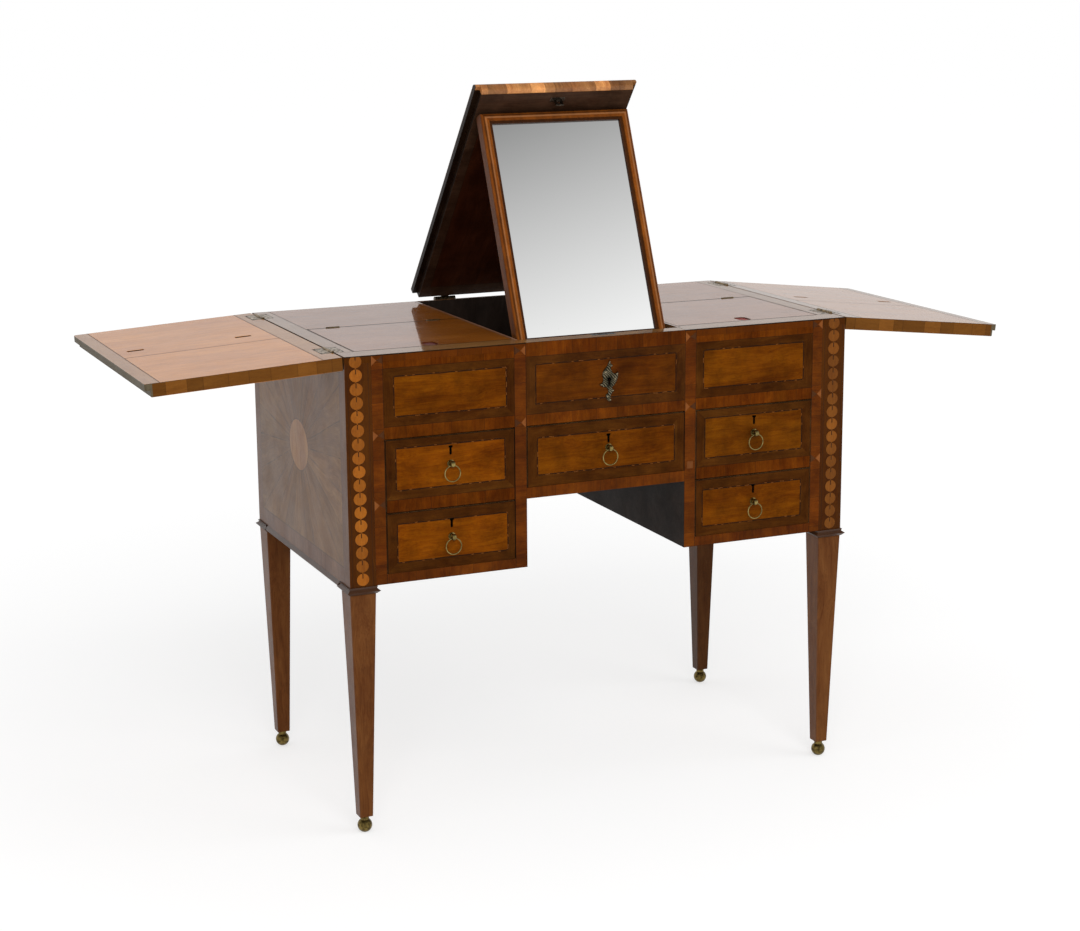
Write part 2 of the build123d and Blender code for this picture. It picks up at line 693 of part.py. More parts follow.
mirror_flap_hinges = []
mirror_frame_hinges = []
for side, flap_plate in zip((-1, 1), mirror_hinge_plates):
    centre = (side * mirror_hinge_centre, mirror_pin[0], mirror_pin[1])
    fixed, moving, bore, outer_spans, middle_span = three_knuckles(
        mirror_hinge_width, mirror_knuckle_radius, mirror_pin_radius, centre)
    x0 = centre[0] - mirror_hinge_width / 2
    x1 = centre[0] + mirror_hinge_width / 2
    on_flap = flap_plate
    for a, b in outer_spans:
        on_flap = on_flap + block(a, b, mirror_pin[0] - mirror_web_half, mirror_pin[0] + mirror_web_half,
                                  mirror_pin[1], flap_underside)
    for barrel in fixed:
        on_flap = on_flap + barrel
    mirror_flap_hinges.append(on_flap)
    notch_reach = mirror_knuckle_radius + mirror_notch_space
    notch = block(x0 - knuckle_gap, x1 + knuckle_gap, mirror_top_edge, mirror_pin[0] + notch_reach,
                  mirror_pin[1] - notch_reach, mirror_back_face)
    plate = block(x0, x1, mirror_pin[0] + notch_reach, mirror_pin[0] + mirror_plate_depth,
                  mirror_back_face - mirror_plate_thickness, mirror_back_face)
    tongue = block(middle_span[0], middle_span[1], mirror_pin[0], mirror_pin[0] + mirror_plate_depth,
                   mirror_back_face - mirror_plate_thickness, mirror_back_face)
    mirror_frame = mirror_frame - notch - plate - tongue
    mirror_frame_hinges.append(plate + tongue + moving - bore)

raised_frame = raise_with_mirror(mirror_frame) - foot_cut


# ---------------------------------------------------------------- drawers
def drawer(x0, x1, z0, z1, head_space, pull_x, pull_z, keyhole_z):
    """Front, box, brass fittings and ring of one drawer, with the front between four planes."""
    fx0 = x0 + front_gap
    fx1 = x1 - front_gap
    front = block(fx0, fx1, front_face, front_back, z0, z1)
    lock_z1 = min(keyhole_z + keyhole_height / 2 + drawer_lock_rise, z1 - drawer_lock_margin)
    lock = block(pull_x - drawer_lock_width / 2, pull_x + drawer_lock_width / 2,
                 front_back - drawer_lock_depth, front_back, lock_z1 - drawer_lock_height, lock_z1)
    keyhole = block(pull_x - keyhole_width / 2, pull_x + keyhole_width / 2, front_face,
                    front_back - drawer_lock_depth, keyhole_z - keyhole_height / 2,
                    keyhole_z + keyhole_height / 2)
    keyhole = fillet(keyhole.edges().filter_by(Axis.Y).sort_by(Axis.Z)[:2], keyhole_width / 2 - 0.1)
    keyhole = keyhole + block(pull_x - keyhole_bar_width / 2, pull_x + keyhole_bar_width / 2, front_face,
                              front_back - drawer_lock_depth,
                              keyhole_z + keyhole_height / 2 - keyhole_bar_height,
                              keyhole_z + keyhole_height / 2)
    stem_z = pull_z + pull_eye_rise
    stem_end = front_face - pull_reach
    stem_hole = rod(pull_stem_radius, front_thickness - drawer_lock_depth,
                    (pull_x, front_face + (front_thickness - drawer_lock_depth) / 2, stem_z), "Y")
    front = front - lock - keyhole - stem_hole

    bx0 = fx0 + drawer_side_gap
    bx1 = fx1 - drawer_side_gap
    bz0 = z0
    bz1 = z1 - head_space
    by1 = panel_face - drawer_rear_space
    box = block(bx0, bx1, front_back, by1, bz0, bz1)
    inside = block(bx0 + drawer_side_thickness, bx1 - drawer_side_thickness, front_back,
                   by1 - drawer_side_thickness, bz0, bz1)
    box = box - inside
    groove = block(bx0 + drawer_side_thickness / 2, bx1 - drawer_side_thickness / 2, front_back,
                   by1 - drawer_side_thickness / 2, bz0 + drawer_bottom_rise,
                   bz0 + drawer_bottom_rise + drawer_bottom_thickness)
    box = box - groove
    box = box + groove

    eye = Pos(pull_x, stem_end, stem_z) * Sphere(pull_eye_radius)
    eye = eye & (Pos(pull_x, stem_end, stem_z) * Box(pull_eye_width, 2 * pull_eye_radius, 2 * pull_eye_radius))
    stem_length = pull_reach + front_thickness - drawer_lock_depth - pull_eye_radius + 2
    stem = rod(pull_stem_radius, stem_length,
               (pull_x, front_back - drawer_lock_depth - stem_length / 2, stem_z), "Y")
    rose = rod(rose_radius, rose_thickness, (pull_x, front_face - rose_thickness / 2, stem_z), "Y")
    post = eye + stem + rose - rod(pull_eye_hole, 3 * pull_eye_width, (pull_x, stem_end, pull_z))
    ring = Pos(pull_x, stem_end, pull_z - ring_radius) * Rot(90, 0, 0) * Torus(ring_radius, ring_wire)
    return front, box, (post, lock), ring


upper_right = drawer(bay_inner, stile_inner, upper_front_bottom, upper_front_top, drawer_head_space,
                     side_pull, upper_pull_level, upper_front_top - side_keyhole_drop - keyhole_height / 2)
lower_right = drawer(bay_inner, stile_inner, lower_front_bottom, lower_front_top,
                     dust_board_thickness + drawer_head_space, side_pull, lower_pull_level,
                     lower_front_top - side_keyhole_drop - keyhole_height / 2)
centre_head = centre_front_top - well_floor_bottom + centre_drawer_head_space
centre = drawer(-well_half, well_half, centre_front_bottom, centre_front_top, centre_head,
                lock_centre, upper_pull_level, centre_front_top - centre_keyhole_drop - keyhole_height / 2)

# ---------------------------------------------------------------- escutcheon
turns = [((1.5, 35), (2.5, 30), (7, 26)), ((7, 26), (4.2, 22), (5.5, 16)), ((5.5, 16), (10.6, 11.3), (16.5, 15)),
         ((16.5, 15), (16, 3), (9.5, -8)), ((9.5, -8), (6.5, -12), (10, -17)),
         ((10, -17), (4.5, -23), (3.5, -34)), ((3.5, -34), (-3, -30), (-5, -22)),
         ((-5, -22), (-0.5, -17), (-4, -10)), ((-4, -10), (-10, -9), (-17, -4)),
         ((-17, -4), (-11.5, -2), (-9.5, 4)), ((-9.5, 4), (-10.5, 14), (-5, 22)),
         ((-5, 22), (-1, 28), (1.5, 35))]
arcs = [ThreePointArc(*[(lock_centre + x, front_face, escutcheon_level + z) for x, z in turn])
        for turn in turns]
escutcheon = extrude(make_face(arcs), amount=escutcheon_thickness, dir=(0, -1, 0))
escutcheon = escutcheon - case_keyhole

# ---------------------------------------------------------------- files
os.makedirs("parts", exist_ok=True)
save("front_legs", leg(-1, -1), leg(1, -1))
save("rear_legs", leg(-1, 1), leg(1, 1))
save("leg_collars", *[collar(*corner) for corner in corners])
save("ball_feet", *[ball_foot(*corner) for corner in corners])
save("side_mouldings", side_moulding(-1), side_moulding(1))
save("left_side_panel", mirrored(side_panel))
save("right_side_panel", side_panel)
save("partitions", mirrored(partition), partition)
save("front_stiles", mirrored(stile), stile)
save("back_panels", mirrored(back_panel), back_panel, kneehole_back)
save("bottom_boards", mirrored(bottom_board), bottom_board)
save("dust_boards", mirrored(dust_board), dust_board)
save("side_friezes", mirrored(frieze), frieze)
save("centre_frieze", centre_frieze)
save("compartment_trays", *[piece for half in (compartment_floor, compartment_wall, lid_ledge)
                            for piece in (mirrored(half), half)])
save("top_boards", mirrored(top_board), top_board)
save("kneehole_rails", apron_rail, kneehole_board)
save("well_linings", well_floor, well_lining, rest_batten)
save("escutcheon", escutcheon)
save("well_lock", well_lock)
save("case_top_hinges", *[piece for half in case_half_hinges + lid_case_hinges
                          for piece in (mirrored(half), half)])
save("case_flap_hinges", *flap_case_hinges)
save("right_lid", lid)
save("right_lid_tab", tab)
save("right_lid_hinges", *lid_half_hinges)
save("left_lid", mirrored(lid))
save("left_lid_tab", mirrored(tab))
save("left_lid_hinges", *[mirrored(half) for half in lid_half_hinges])
save("right_leaf", hung(level_leaf, leaf_droop_right))
save("right_leaf_hinges", *[hung(half, leaf_droop_right) for half in leaf_half_hinges])
save("left_leaf", mirrored(hung(level_leaf, leaf_droop_left)))
save("left_leaf_hinges", *[mirrored(hung(half, leaf_droop_left)) for half in leaf_half_hinges])
save("flap", raise_with_flap(flap))
save("flap_hinges", *[raise_with_flap(half) for half in flap_arm_hinges + mirror_flap_hinges])
save("staple", raise_with_flap(staple))
save("mirror_frame", raised_frame)
save("mirror_glass", raise_with_mirror(mirror_glass))
save("mirror_back", raise_with_mirror(mirror_back))
save("mirror_frame_hinges", *[raise_with_mirror(half) for half in mirror_frame_hinges])
for name, pieces, side in (("upper_right", upper_right, 1), ("upper_left", upper_right, -1),
                           ("lower_right", lower_right, 1), ("lower_left", lower_right, -1),
                           ("centre", centre, 1)):
    front, box, fittings, ring = pieces
    flip = mirrored if side < 0 else (lambda shape: shape)
    save(f"{name}_drawer_front", flip(front))
    save(f"{name}_drawer_box", flip(box))
    save(f"{name}_drawer_fittings", *[flip(piece) for piece in fittings])
    save(f"{name}_drawer_ring", flip(ring))
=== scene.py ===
"""Looks of the fold-out dressing table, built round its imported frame."""

import json
import logging
import math
from dataclasses import dataclass, replace
from enum import Enum
from typing import Any, Callable, Iterable, Optional, Sequence, Union

import bmesh
import bpy
from mathutils import Matrix, Vector
from mathutils.geometry import delaunay_2d_cdt

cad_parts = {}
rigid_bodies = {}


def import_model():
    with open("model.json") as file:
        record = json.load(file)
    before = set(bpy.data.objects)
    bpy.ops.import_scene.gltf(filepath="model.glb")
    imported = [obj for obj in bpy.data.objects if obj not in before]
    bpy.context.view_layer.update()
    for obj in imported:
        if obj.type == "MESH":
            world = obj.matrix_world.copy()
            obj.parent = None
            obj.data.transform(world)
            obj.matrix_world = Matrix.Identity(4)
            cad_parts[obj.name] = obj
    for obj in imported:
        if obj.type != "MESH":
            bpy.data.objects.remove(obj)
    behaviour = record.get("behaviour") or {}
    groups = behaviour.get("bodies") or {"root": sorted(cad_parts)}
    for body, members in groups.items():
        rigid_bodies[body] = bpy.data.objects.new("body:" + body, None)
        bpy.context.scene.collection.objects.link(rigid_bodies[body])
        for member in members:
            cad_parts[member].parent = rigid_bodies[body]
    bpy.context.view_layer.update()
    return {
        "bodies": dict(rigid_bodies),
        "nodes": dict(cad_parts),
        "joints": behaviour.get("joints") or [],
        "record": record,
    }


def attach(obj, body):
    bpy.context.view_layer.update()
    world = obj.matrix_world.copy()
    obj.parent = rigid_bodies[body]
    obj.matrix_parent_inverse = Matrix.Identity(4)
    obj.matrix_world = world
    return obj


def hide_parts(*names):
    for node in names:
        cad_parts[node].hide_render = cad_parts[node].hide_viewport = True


LOG = logging.getLogger("dressing_table")
MM = 0.001
SIDES = (("left", -1), ("right", 1))
Value = Union[float, Sequence[float], "Signal", None]
Colour = tuple[float, float, float]
Edges = tuple[float, float, float, float]


def linear(colour: Colour) -> tuple[float, float, float, float]:
    """Turn an 8-bit display colour into the linear colour that a socket takes.

    Args:
        colour: Red, green and blue from 0 to 255.

    Returns:
        Linear red, green and blue, and an alpha of 1.
    """
    parts = [part / 255 for part in colour]
    made = [part / 12.92 if part <= 0.04045 else ((part + 0.055) / 1.055) ** 2.4 for part in parts]
    return made[0], made[1], made[2], 1.0


@dataclass(frozen=True)
class TableSizes:
    """Planes of the case and places of its folding parts and its fan, in millimetres."""

    half_width: float = 443.0
    half_depth: float = 244.0
    case_top: float = 780.0
    case_bottom: float = 414.0
    post_inner: float = 400.0
    stile_inner: float = 381.0
    bay_inner: float = 161.5
    well_half: float = 141.5
    well_rail_back: float = -216.0
    leaf_pin_x: float = 444.5
    leaf_pin_z: float = 780.15
    leaf_bottom: float = 759.0
    hinge_rows: tuple[float, float] = (195.0, -174.0)
    screw_level: float = 779.8
    fan_centre: float = 596.0
    fan_wedges: int = 26


SIZES = TableSizes()
FRONT = -SIZES.half_depth


def on_side(side: int, near: float, far: float) -> tuple[float, float]:
    """Edges of a strip on one side of the table, the lower one first.

    Args:
        side: -1 for the left, 1 for the right.
        near: Distance of the one edge from the middle plane.
        far: Distance of the other.

    Returns:
        The two edges along X.
    """
    low, high = sorted((side * near, side * far))
    return low, high


# ---------------------------------------------------------------- node trees
def reckoned(operation: str, swapped: bool = False) -> Callable[["Signal", Value], "Signal"]:
    """Make the method that stands for a Math node of two values.

    Args:
        operation: Blender's name of the operation.
        swapped: Whether the other value comes first.

    Returns:
        The method for an operator of Signal.
    """
    def method(self: "Signal", other: Value) -> "Signal":
        """Add the Math node and return its output."""
        return self.bench.math(operation, *((other, self) if swapped else (self, other)))
    return method


class Signal:
    """A node's output that is reckoned with like a number."""

    __add__ = __radd__ = reckoned("ADD")
    __mul__ = __rmul__ = reckoned("MULTIPLY")
    __sub__, __rsub__ = reckoned("SUBTRACT"), reckoned("SUBTRACT", swapped=True)
    __truediv__, __mod__, __pow__ = reckoned("DIVIDE"), reckoned("MODULO"), reckoned("POWER")
    __lt__, __gt__ = reckoned("LESS_THAN"), reckoned("GREATER_THAN")

    def __init__(self, bench: "Bench", socket: bpy.types.NodeSocket) -> None:
        """Keep the socket and the bench of its tree."""
        self.bench = bench
        self.socket = socket

    def __abs__(self) -> "Signal":
        """The value without its sign."""
        return self.bench.math("ABSOLUTE", self)


class Bench:
    """Places and links the nodes of one tree."""

    def __init__(self, tree: bpy.types.NodeTree) -> None:
        """Keep the tree that this bench works on."""
        self.tree = tree

    def node(self, kind: str, **settings: Any) -> bpy.types.Node:
        """Add a node of a Blender type, with properties to set on it.

        Args:
            kind: The node's Blender type.
            **settings: Properties to set on it.

        Returns:
            The new node.
        """
        made = self.tree.nodes.new(kind)
        for name, value in settings.items():
            setattr(made, name, value)
        return made

    def feed(self, socket: bpy.types.NodeSocket, value: Value) -> None:
        """Link a socket to a signal, or set its value.

        Args:
            socket: The input.
            value: A signal, a plain value, or None to leave it.
        """
        if isinstance(value, Signal):
            self.tree.links.new(value.socket, socket)
        elif value is not None:
            socket.default_value = value

    def fed(self, kind: str, inputs: dict[Union[int, str], Value], out: Union[int, str] = 0,
            **settings: Any) -> Optional[Signal]:
        """Add a node and feed its inputs.

        Args:
            kind: The node's Blender type.
            inputs: Values by the inputs' names or places.
            out: Name or place of the wanted output.
            **settings: Properties to set on the node.

        Returns:
            The output, or None for a node without any.
        """
        made = self.node(kind, **settings)
        for name, value in inputs.items():
            self.feed(made.inputs[name], value)
        return Signal(self, made.outputs[out]) if made.outputs else None

    def outputs(self, made: bpy.types.Node) -> dict[str, Signal]:
        """The outputs of a node by name."""
        return {socket.name: Signal(self, socket) for socket in made.outputs if socket.name}

    def coordinates(self, kind: str = "Object") -> Signal:
        """Texture coordinates of a kind."""
        return self.fed("ShaderNodeTexCoord", {}, kind)

    def math(self, operation: str, *values: Value, clamp: bool = False) -> Signal:
        """Add a Math node and return its output."""
        return self.fed("ShaderNodeMath", dict(enumerate(values)), operation=operation, use_clamp=clamp)

    def most(self, a: Value, b: Value) -> Signal:
        """The greater of two numbers."""
        return self.math("MAXIMUM", a, b)

    def vector(self, operation: str, *values: Value, out: int = 0) -> Signal:
        """Add a Vector Math node and return one of its outputs."""
        return self.fed("ShaderNodeVectorMath", dict(enumerate(values)), out, operation=operation)

    def length(self, *parts: Value) -> Signal:
        """Length of a vector, or of one with the given parts."""
        return self.vector("LENGTH", parts[0] if len(parts) == 1 else self.join(*parts), out=1)

    def scaled(self, value: Value, factors: Sequence[float]) -> Signal:
        """Multiply a vector by a number for each axis."""
        return self.vector("MULTIPLY", value, tuple(factors))

    def split(self, value: Value) -> list[Signal]:
        """Return the three parts of a vector.

        Args:
            value: The vector.

        Returns:
            Its parts along X, Y and Z.
        """
        made = self.node("ShaderNodeSeparateXYZ")
        self.feed(made.inputs[0], value)
        return [Signal(self, part) for part in made.outputs]

    def join(self, x: Value, y: Value, z: Value) -> Signal:
        """Return a vector made from three parts."""
        return self.fed("ShaderNodeCombineXYZ", {0: x, 1: y, 2: z})

    def mix(self, factor: Value, a: Value, b: Value, blend: str = "MIX") -> Signal:
        """Mix two colours in the way that Blender's blend type names."""
        return self.fed("ShaderNodeMix", {0: factor, 6: a, 7: b}, 2, data_type="RGBA", blend_type=blend)

    def between(self, factor: Value, a: Value, b: Value) -> Signal:
        """Mix two numbers."""
        return self.fed("ShaderNodeMix", {0: factor, 2: a, 3: b}, data_type="FLOAT")

    def mix_places(self, factor: Value, a: Value, b: Value) -> Signal:
        """Mix two vectors."""
        return self.fed("ShaderNodeMix", {0: factor, 4: a, 5: b}, 1, data_type="VECTOR")

    def lit(self, colour: Value, tone: Signal) -> Signal:
        """Make a colour brighter or darker by a factor."""
        return self.mix(1.0, colour, self.join(tone, tone, tone), "MULTIPLY")

    def noise(self, place: Value, scale: Union[float, Sequence[float]], detail: float, roughness: float = 0.5,
              distortion: float = 0.0) -> Signal:
        """Return the value of a noise texture whose scale may differ for each axis.

        Args:
            place: Where the texture is read.
            scale: How fine it is, on all axes or on each.
            detail: Number of finer layers.
            roughness: Strength of the finer layers.
            distortion: How far it is drawn about.

        Returns:
            The value, from 0 to 1.
        """
        if isinstance(scale, tuple):
            place, scale = self.scaled(place, scale), 1.0
        return self.fed("ShaderNodeTexNoise", {"Vector": place, "Scale": scale, "Detail": detail,
                                               "Roughness": roughness, "Distortion": distortion})

    def cells(self, place: Value, randomness: float = 1.0) -> list[Signal]:
        """Cells along a line: a random colour for each, and the distance to the nearest edge.

        Args:
            place: Where on the line.
            randomness: How uneven the cells are.

        Returns:
            The colour and the distance.
        """
        inputs = {"W": place, "Scale": 1.0, "Randomness": randomness}
        return [self.fed("ShaderNodeTexVoronoi", inputs, out, voronoi_dimensions="1D", feature=feature)
                for feature, out in (("F1", "Color"), ("DISTANCE_TO_EDGE", "Distance"))]

    def ramp(self, value: Value, low: float, high: float, to_low: float = 0.0,
             to_high: float = 1.0) -> Signal:
        """Map a range onto another, held at its ends."""
        return self.fed("ShaderNodeMapRange", dict(enumerate((value, low, high, to_low, to_high))))

    def placed(self, group: bpy.types.NodeTree, **values: Value) -> dict[str, Signal]:
        """Place an effect group with values for its inputs, and return its outputs by name.

        Args:
            group: The effect's node group.
            **values: Its inputs by name.

        Returns:
            Its outputs by name.
        """
        made = self.node("ShaderNodeGroup", node_tree=group)
        for name, value in values.items():
            self.feed(made.inputs[name], value)
        return self.outputs(made)


VALUE, COLOUR, PLACE = "NodeSocketFloat", "NodeSocketColor", "NodeSocketVector"


class EffectGroup(Bench):
    """A shader node group under construction, with named inputs and outputs."""

    def __init__(self, name: str, inputs: dict[str, str], outputs: dict[str, str]) -> None:
        """Make the empty group.

        Args:
            name: Name of the effect.
            inputs: Socket type of each input by name.
            outputs: Socket type of each output by name.
        """
        tree = bpy.data.node_groups.new(name, "ShaderNodeTree")
        super().__init__(tree)
        for direction, sockets in (("INPUT", inputs), ("OUTPUT", outputs)):
            for label, kind in sockets.items():
                tree.interface.new_socket(label, in_out=direction, socket_type=kind)
        self.given = list(self.outputs(self.node("NodeGroupInput")).values())
        self.result = self.node("NodeGroupOutput").inputs

    def put_out(self, **values: Value) -> bpy.types.NodeTree:
        """Link the named outputs and return the finished group.

        Args:
            **values: What the outputs give, by name.

        Returns:
            The finished group.
        """
        for name, value in values.items():
            self.feed(self.result[name], value)
        return self.tree


class Effects:
    """The shader effects that several finishes share, each built once."""

    def __init__(self) -> None:
        """Build all the effect groups."""
        self.grain = self.make_grain()
        self.blocks = self.make_blocks()
        self.outline = self.make_outline()
        self.patina = self.make_patina()
        self.rays = self.make_rays(self.outline)
        self.metal = self.make_metal()

    @staticmethod
    def make_grain() -> bpy.types.NodeTree:
        """Wood figure, streaks and pores; the grain runs along X of the place.

        Returns:
            The finished group.
        """
        group = EffectGroup("wood_grain", {"Place": PLACE, "Wood": COLOUR, "Figure": VALUE, "Streak": VALUE,
                                           "Seed": VALUE}, {"Color": COLOUR, "Height": VALUE})
        given, wood, strength, streaks, seed = group.given
        place = group.vector("ADD", given, group.scaled(group.join(seed, seed, seed), (3.1, 1.7, 2.3)))
        cloud = group.noise(place, (5, 16, 16), 3)
        sway = group.noise(place, (7, 22, 22), 1) * 0.05
        bent = group.vector("ADD", place, group.join(0.0, sway, sway))
        figure = group.noise(bent, (10, 105, 105), 5, 0.6, 0.5)
        streak = group.noise(bent, (26, 640, 640), 3, 0.6)
        pores = group.ramp(group.noise(place, (190, 2400, 2400), 1), 0.36, 0.28)
        total = (figure - 0.5) * strength + (streak - 0.5) * streaks + ((cloud - 0.5) * strength + 1.0)
        total = group.most(total, 0.25)
        colour = group.mix(1.0, wood, group.join(total, total ** 1.35, total ** 1.5), "MULTIPLY")
        colour = group.mix(pores * 0.4, colour, (0.01, 0.005, 0.002, 1))
        return group.put_out(Color=colour, Height=streak * 0.4 - pores * 0.5)

    @staticmethod
    def make_blocks() -> bpy.types.NodeTree:
        """Random lengths of veneer along a band, with a tone for each and the joints between.

        Returns:
            The finished group.
        """
        group = EffectGroup("band_blocks", {"Along": VALUE, "Length": VALUE, "Seed": VALUE},
                            {"Tone": VALUE, "Joint": VALUE})
        along, length, seed = group.given
        tint, edge = group.cells(along / length + seed * 7.3)
        return group.put_out(Tone=group.split(tint)[0], Joint=group.ramp(edge * length, 0.00055, 0.0002))

    @staticmethod
    def make_outline() -> bpy.types.NodeTree:
        """Signed distance from a rectangle, below zero inside, and which pair of sides is nearer.

        Returns:
            The finished group.
        """
        group = EffectGroup("piece_outline", {"Place": PLACE, "Centre": PLACE, "Half": PLACE},
                            {"Distance": VALUE, "Upright": VALUE})
        place, centre, half = group.given
        away = group.vector("ABSOLUTE", group.vector("SUBTRACT", place, centre))
        x, y, _ = group.split(group.vector("SUBTRACT", away, half))
        return group.put_out(Distance=group.most(x, y), Upright=x > y)

    @staticmethod
    def make_patina() -> bpy.types.NodeTree:
        """Smudges in the polish and old dirt.

        Returns:
            The finished group.
        """
        group = EffectGroup("old_patina", {"Place": PLACE, "Amount": VALUE}, {"Smudge": VALUE, "Dirt": VALUE})
        place, amount = group.given
        smudge = group.ramp(group.noise(place, 14, 5, 0.65), 0.42, 0.68)
        dirt_and_shade = group.ramp(group.noise(place, 38, 6, 0.7), 0.5, 0.75)
        return group.put_out(Smudge=smudge * amount, Dirt=dirt_and_shade * amount)

    @staticmethod
    def make_rays(outline: bpy.types.NodeTree) -> bpy.types.NodeTree:
        """A fan of veneer wedges round an oval, on the Y-Z plane of a side.

        Args:
            outline: The outline's group, for the border.

        Returns:
            The finished group.
        """
        group = EffectGroup("sunburst", {"Place": PLACE, "Seed": VALUE},
                            {"Tone": VALUE, "Joint": VALUE, "Oval": VALUE, "Rim": VALUE, "Grain": PLACE,
                             "Border": VALUE})
        place, seed = group.given
        wedge = math.tau / SIZES.fan_wedges
        x, across, z = group.split(place)
        rise = z - SIZES.fan_centre * MM
        angle = group.math("ARCTAN2", rise, across)
        reach = group.length(across, rise, 0.0)
        turn = (angle + group.math("SIGN", x) * 0.07) * (1 / wedge)
        wobble = group.noise(place, 9, 2) * 0.12
        tint, edge = group.cells(turn + (wobble + seed), 0.45)
        width = group.ramp(group.noise(place, 30, 3), 0.35, 0.65, 0.0002, 0.0012)
        shaped = group.length(across / 0.049, rise / 0.0425, 0.0)
        oval = shaped < 1.0
        grain = group.mix_places(oval, group.join(reach, angle * 0.12, 0.0), group.join(rise, across, 0.0))
        frame = group.placed(outline, Place=group.join(across, z, 0.0), Centre=(0.0, 0.597, 0.0),
                             Half=(0.217, 0.155, 1.0))
        return group.put_out(Tone=group.split(tint)[1], Joint=edge * (reach * wedge) < width, Oval=oval,
                             Rim=abs(shaped - 1.0) < 0.018, Grain=grain, Border=frame["Distance"])

    @staticmethod
    def make_metal() -> bpy.types.NodeTree:
        """Old lacquered brass: warm and cool patches, dull hollows and fine pits.

        Returns:
            The finished group.
        """
        group = EffectGroup("old_metal", {"Place": PLACE, "Bright": COLOUR, "Dull": COLOUR, "Age": VALUE},
                            {"Color": COLOUR, "Roughness": VALUE, "Height": VALUE})
        place, bright, dull, age = group.given
        worn = group.ramp(group.noise(place, 160, 5, 0.65), 0.4, 0.66) * age
        return group.put_out(Color=group.mix(worn, bright, dull), Roughness=worn * 0.35 + 0.22,
                             Height=group.noise(place, 1500, 2))


# ---------------------------------------------------------------- woods and finishes
@dataclass(frozen=True)
class Wood:
    """Colour and figure of one wood.

    Attributes:
        colour: Middle tone, 0 to 255.
        figure: Strength of the broad figure, where the finish doesn't give its own.
        streak: Strength of the fine streaks, in the same way.
    """

    colour: Colour
    figure: float = 0.9
    streak: float = 0.5


DARK_BORDER = Wood((66, 34, 6))
CROSSBAND = Wood((85, 39, 3))
FIELD = Wood((112, 57, 3))
REDDISH_FIELD = Wood((80, 38, 2))
POST_STRIP = Wood((69, 34, 4))
LEG = Wood((97, 57, 27), 1.0, 0.7)
MOULDING = Wood((66, 40, 22), 0.5, 0.4)
SIDE_VENEER = Wood((108, 75, 42))
SIDE_BORDER = Wood((98, 66, 46))
SIDE_OVAL = Wood((146, 106, 66))
TOP_FIELD = Wood((132, 75, 22))
TOP_BAND = Wood((126, 86, 46))
# Painted reflection: the pale grey-brown sheen on the strips between the lids and the well.
TOP_STRIP_SHEEN = Wood((150, 108, 84))
LEAF_FIELD = Wood((194, 121, 42))
LEAF_BAND = Wood((158, 108, 58))
LEAF_EDGE = Wood((108, 66, 24))
# Painted shade and grey sheen on the leaves' end edges.
LEAF_END_SHEEN_SHADE = Wood((94, 84, 66))
FLAP_DARK = Wood((58, 38, 26))
FLAP_PANEL = Wood((56, 26, 12))
FLAP_SIDE = Wood((30, 18, 10))
# The flap's nosing: lighter wood, with its colour raised partly as a painted highlight.
FLAP_NOSE_HIGHLIT = Wood((172, 114, 64))
FRAME = Wood((122, 64, 16), 0.8, 0.6)
CARCASS = Wood((128, 92, 58), 0.8, 0.7)
BACK_BOARD = Wood((112, 74, 44))
WELL = Wood((84, 52, 30))
# Painted shade: near-black for the faces inside the kneehole and the well.
HOLLOW_SHADE = Wood((36, 27, 22))
# Painted shade on the floor of the lids' finger recesses.
RECESS_SHADE = Wood((88, 42, 28))
# Near-black painted shade: gaps round drawer heads, lids and hinge plates, keyhole walls, hollows in the
# leaves and the line under the top's front arris.
PAINTED_SHADE = Wood((8, 5, 3))
DIRT = (0.01, 0.006, 0.004, 1)
GLUE = (0.012, 0.006, 0.003, 1)


class Grain(Enum):
    """Direction of the grain on a face."""

    LEVEL = "level"
    UPRIGHT = "upright"
    FRAMED = "framed"


@dataclass(frozen=True)
class Zone:
    """One sheet of veneer between four lines of its face, in millimetres.

    Attributes:
        x0, x1, z0, z1: Its edges along the face's two axes.
        wood: What it is cut from.
        grain: Direction of its grain.
        block: Mean length of the pieces it is made up from, or 0 for one sheet.
        tone: Brightness against the wood's own.
        joint: Whether a dark joint is drawn round it.
        spread: How far its pieces differ in tone.
    """

    x0: float
    x1: float
    z0: float
    z1: float
    wood: Wood
    grain: Grain = Grain.LEVEL
    block: float = 0.0
    tone: float = 1.0
    joint: bool = True
    spread: float = 0.16

    def centre(self) -> Colour:
        """Middle of the sheet on its face, in metres."""
        return (self.x0 + self.x1) / 2 * MM, (self.z0 + self.z1) / 2 * MM, 0.0

    def half(self) -> Colour:
        """Half the sheet's sides, in metres."""
        return (self.x1 - self.x0) / 2 * MM, (self.z1 - self.z0) / 2 * MM, 1.0

    def on(self, side: int) -> "Zone":
        """A sheet that is given for the right-hand side, as it lies on a side."""
        low, high = on_side(side, self.x0, self.x1)
        return replace(self, x0=low, x1=high)


def paired(*sheets: Zone) -> tuple[Zone, ...]:
    """Sheets that are given for the right-hand side, laid on the left and then on the right."""
    return tuple(sheet.on(side) for side in (-1, 1) for sheet in sheets)


class Face(Enum):
    """The plane that a veneered face lies in: its two axes and the axis of its depth."""

    FRONT = (0, 2, 1)
    TOP = (0, 1, 2)
    SIDE = (1, 2, 0)


@dataclass(frozen=True)
class Turn:
    """How a part is turned from its flat place to where it stands at rest.

    Attributes:
        axis: X or Y.
        degrees: The angle.
        pin: A point on the axis, in millimetres.
    """

    axis: str
    degrees: float
    pin: tuple[float, float, float]

    def matrix(self) -> Matrix:
        """Matrix from the flat place to the resting place."""
        centre = Matrix.Translation(Vector(self.pin) * MM)
        return centre @ Matrix.Rotation(math.radians(self.degrees), 4, self.axis) @ centre.inverted()


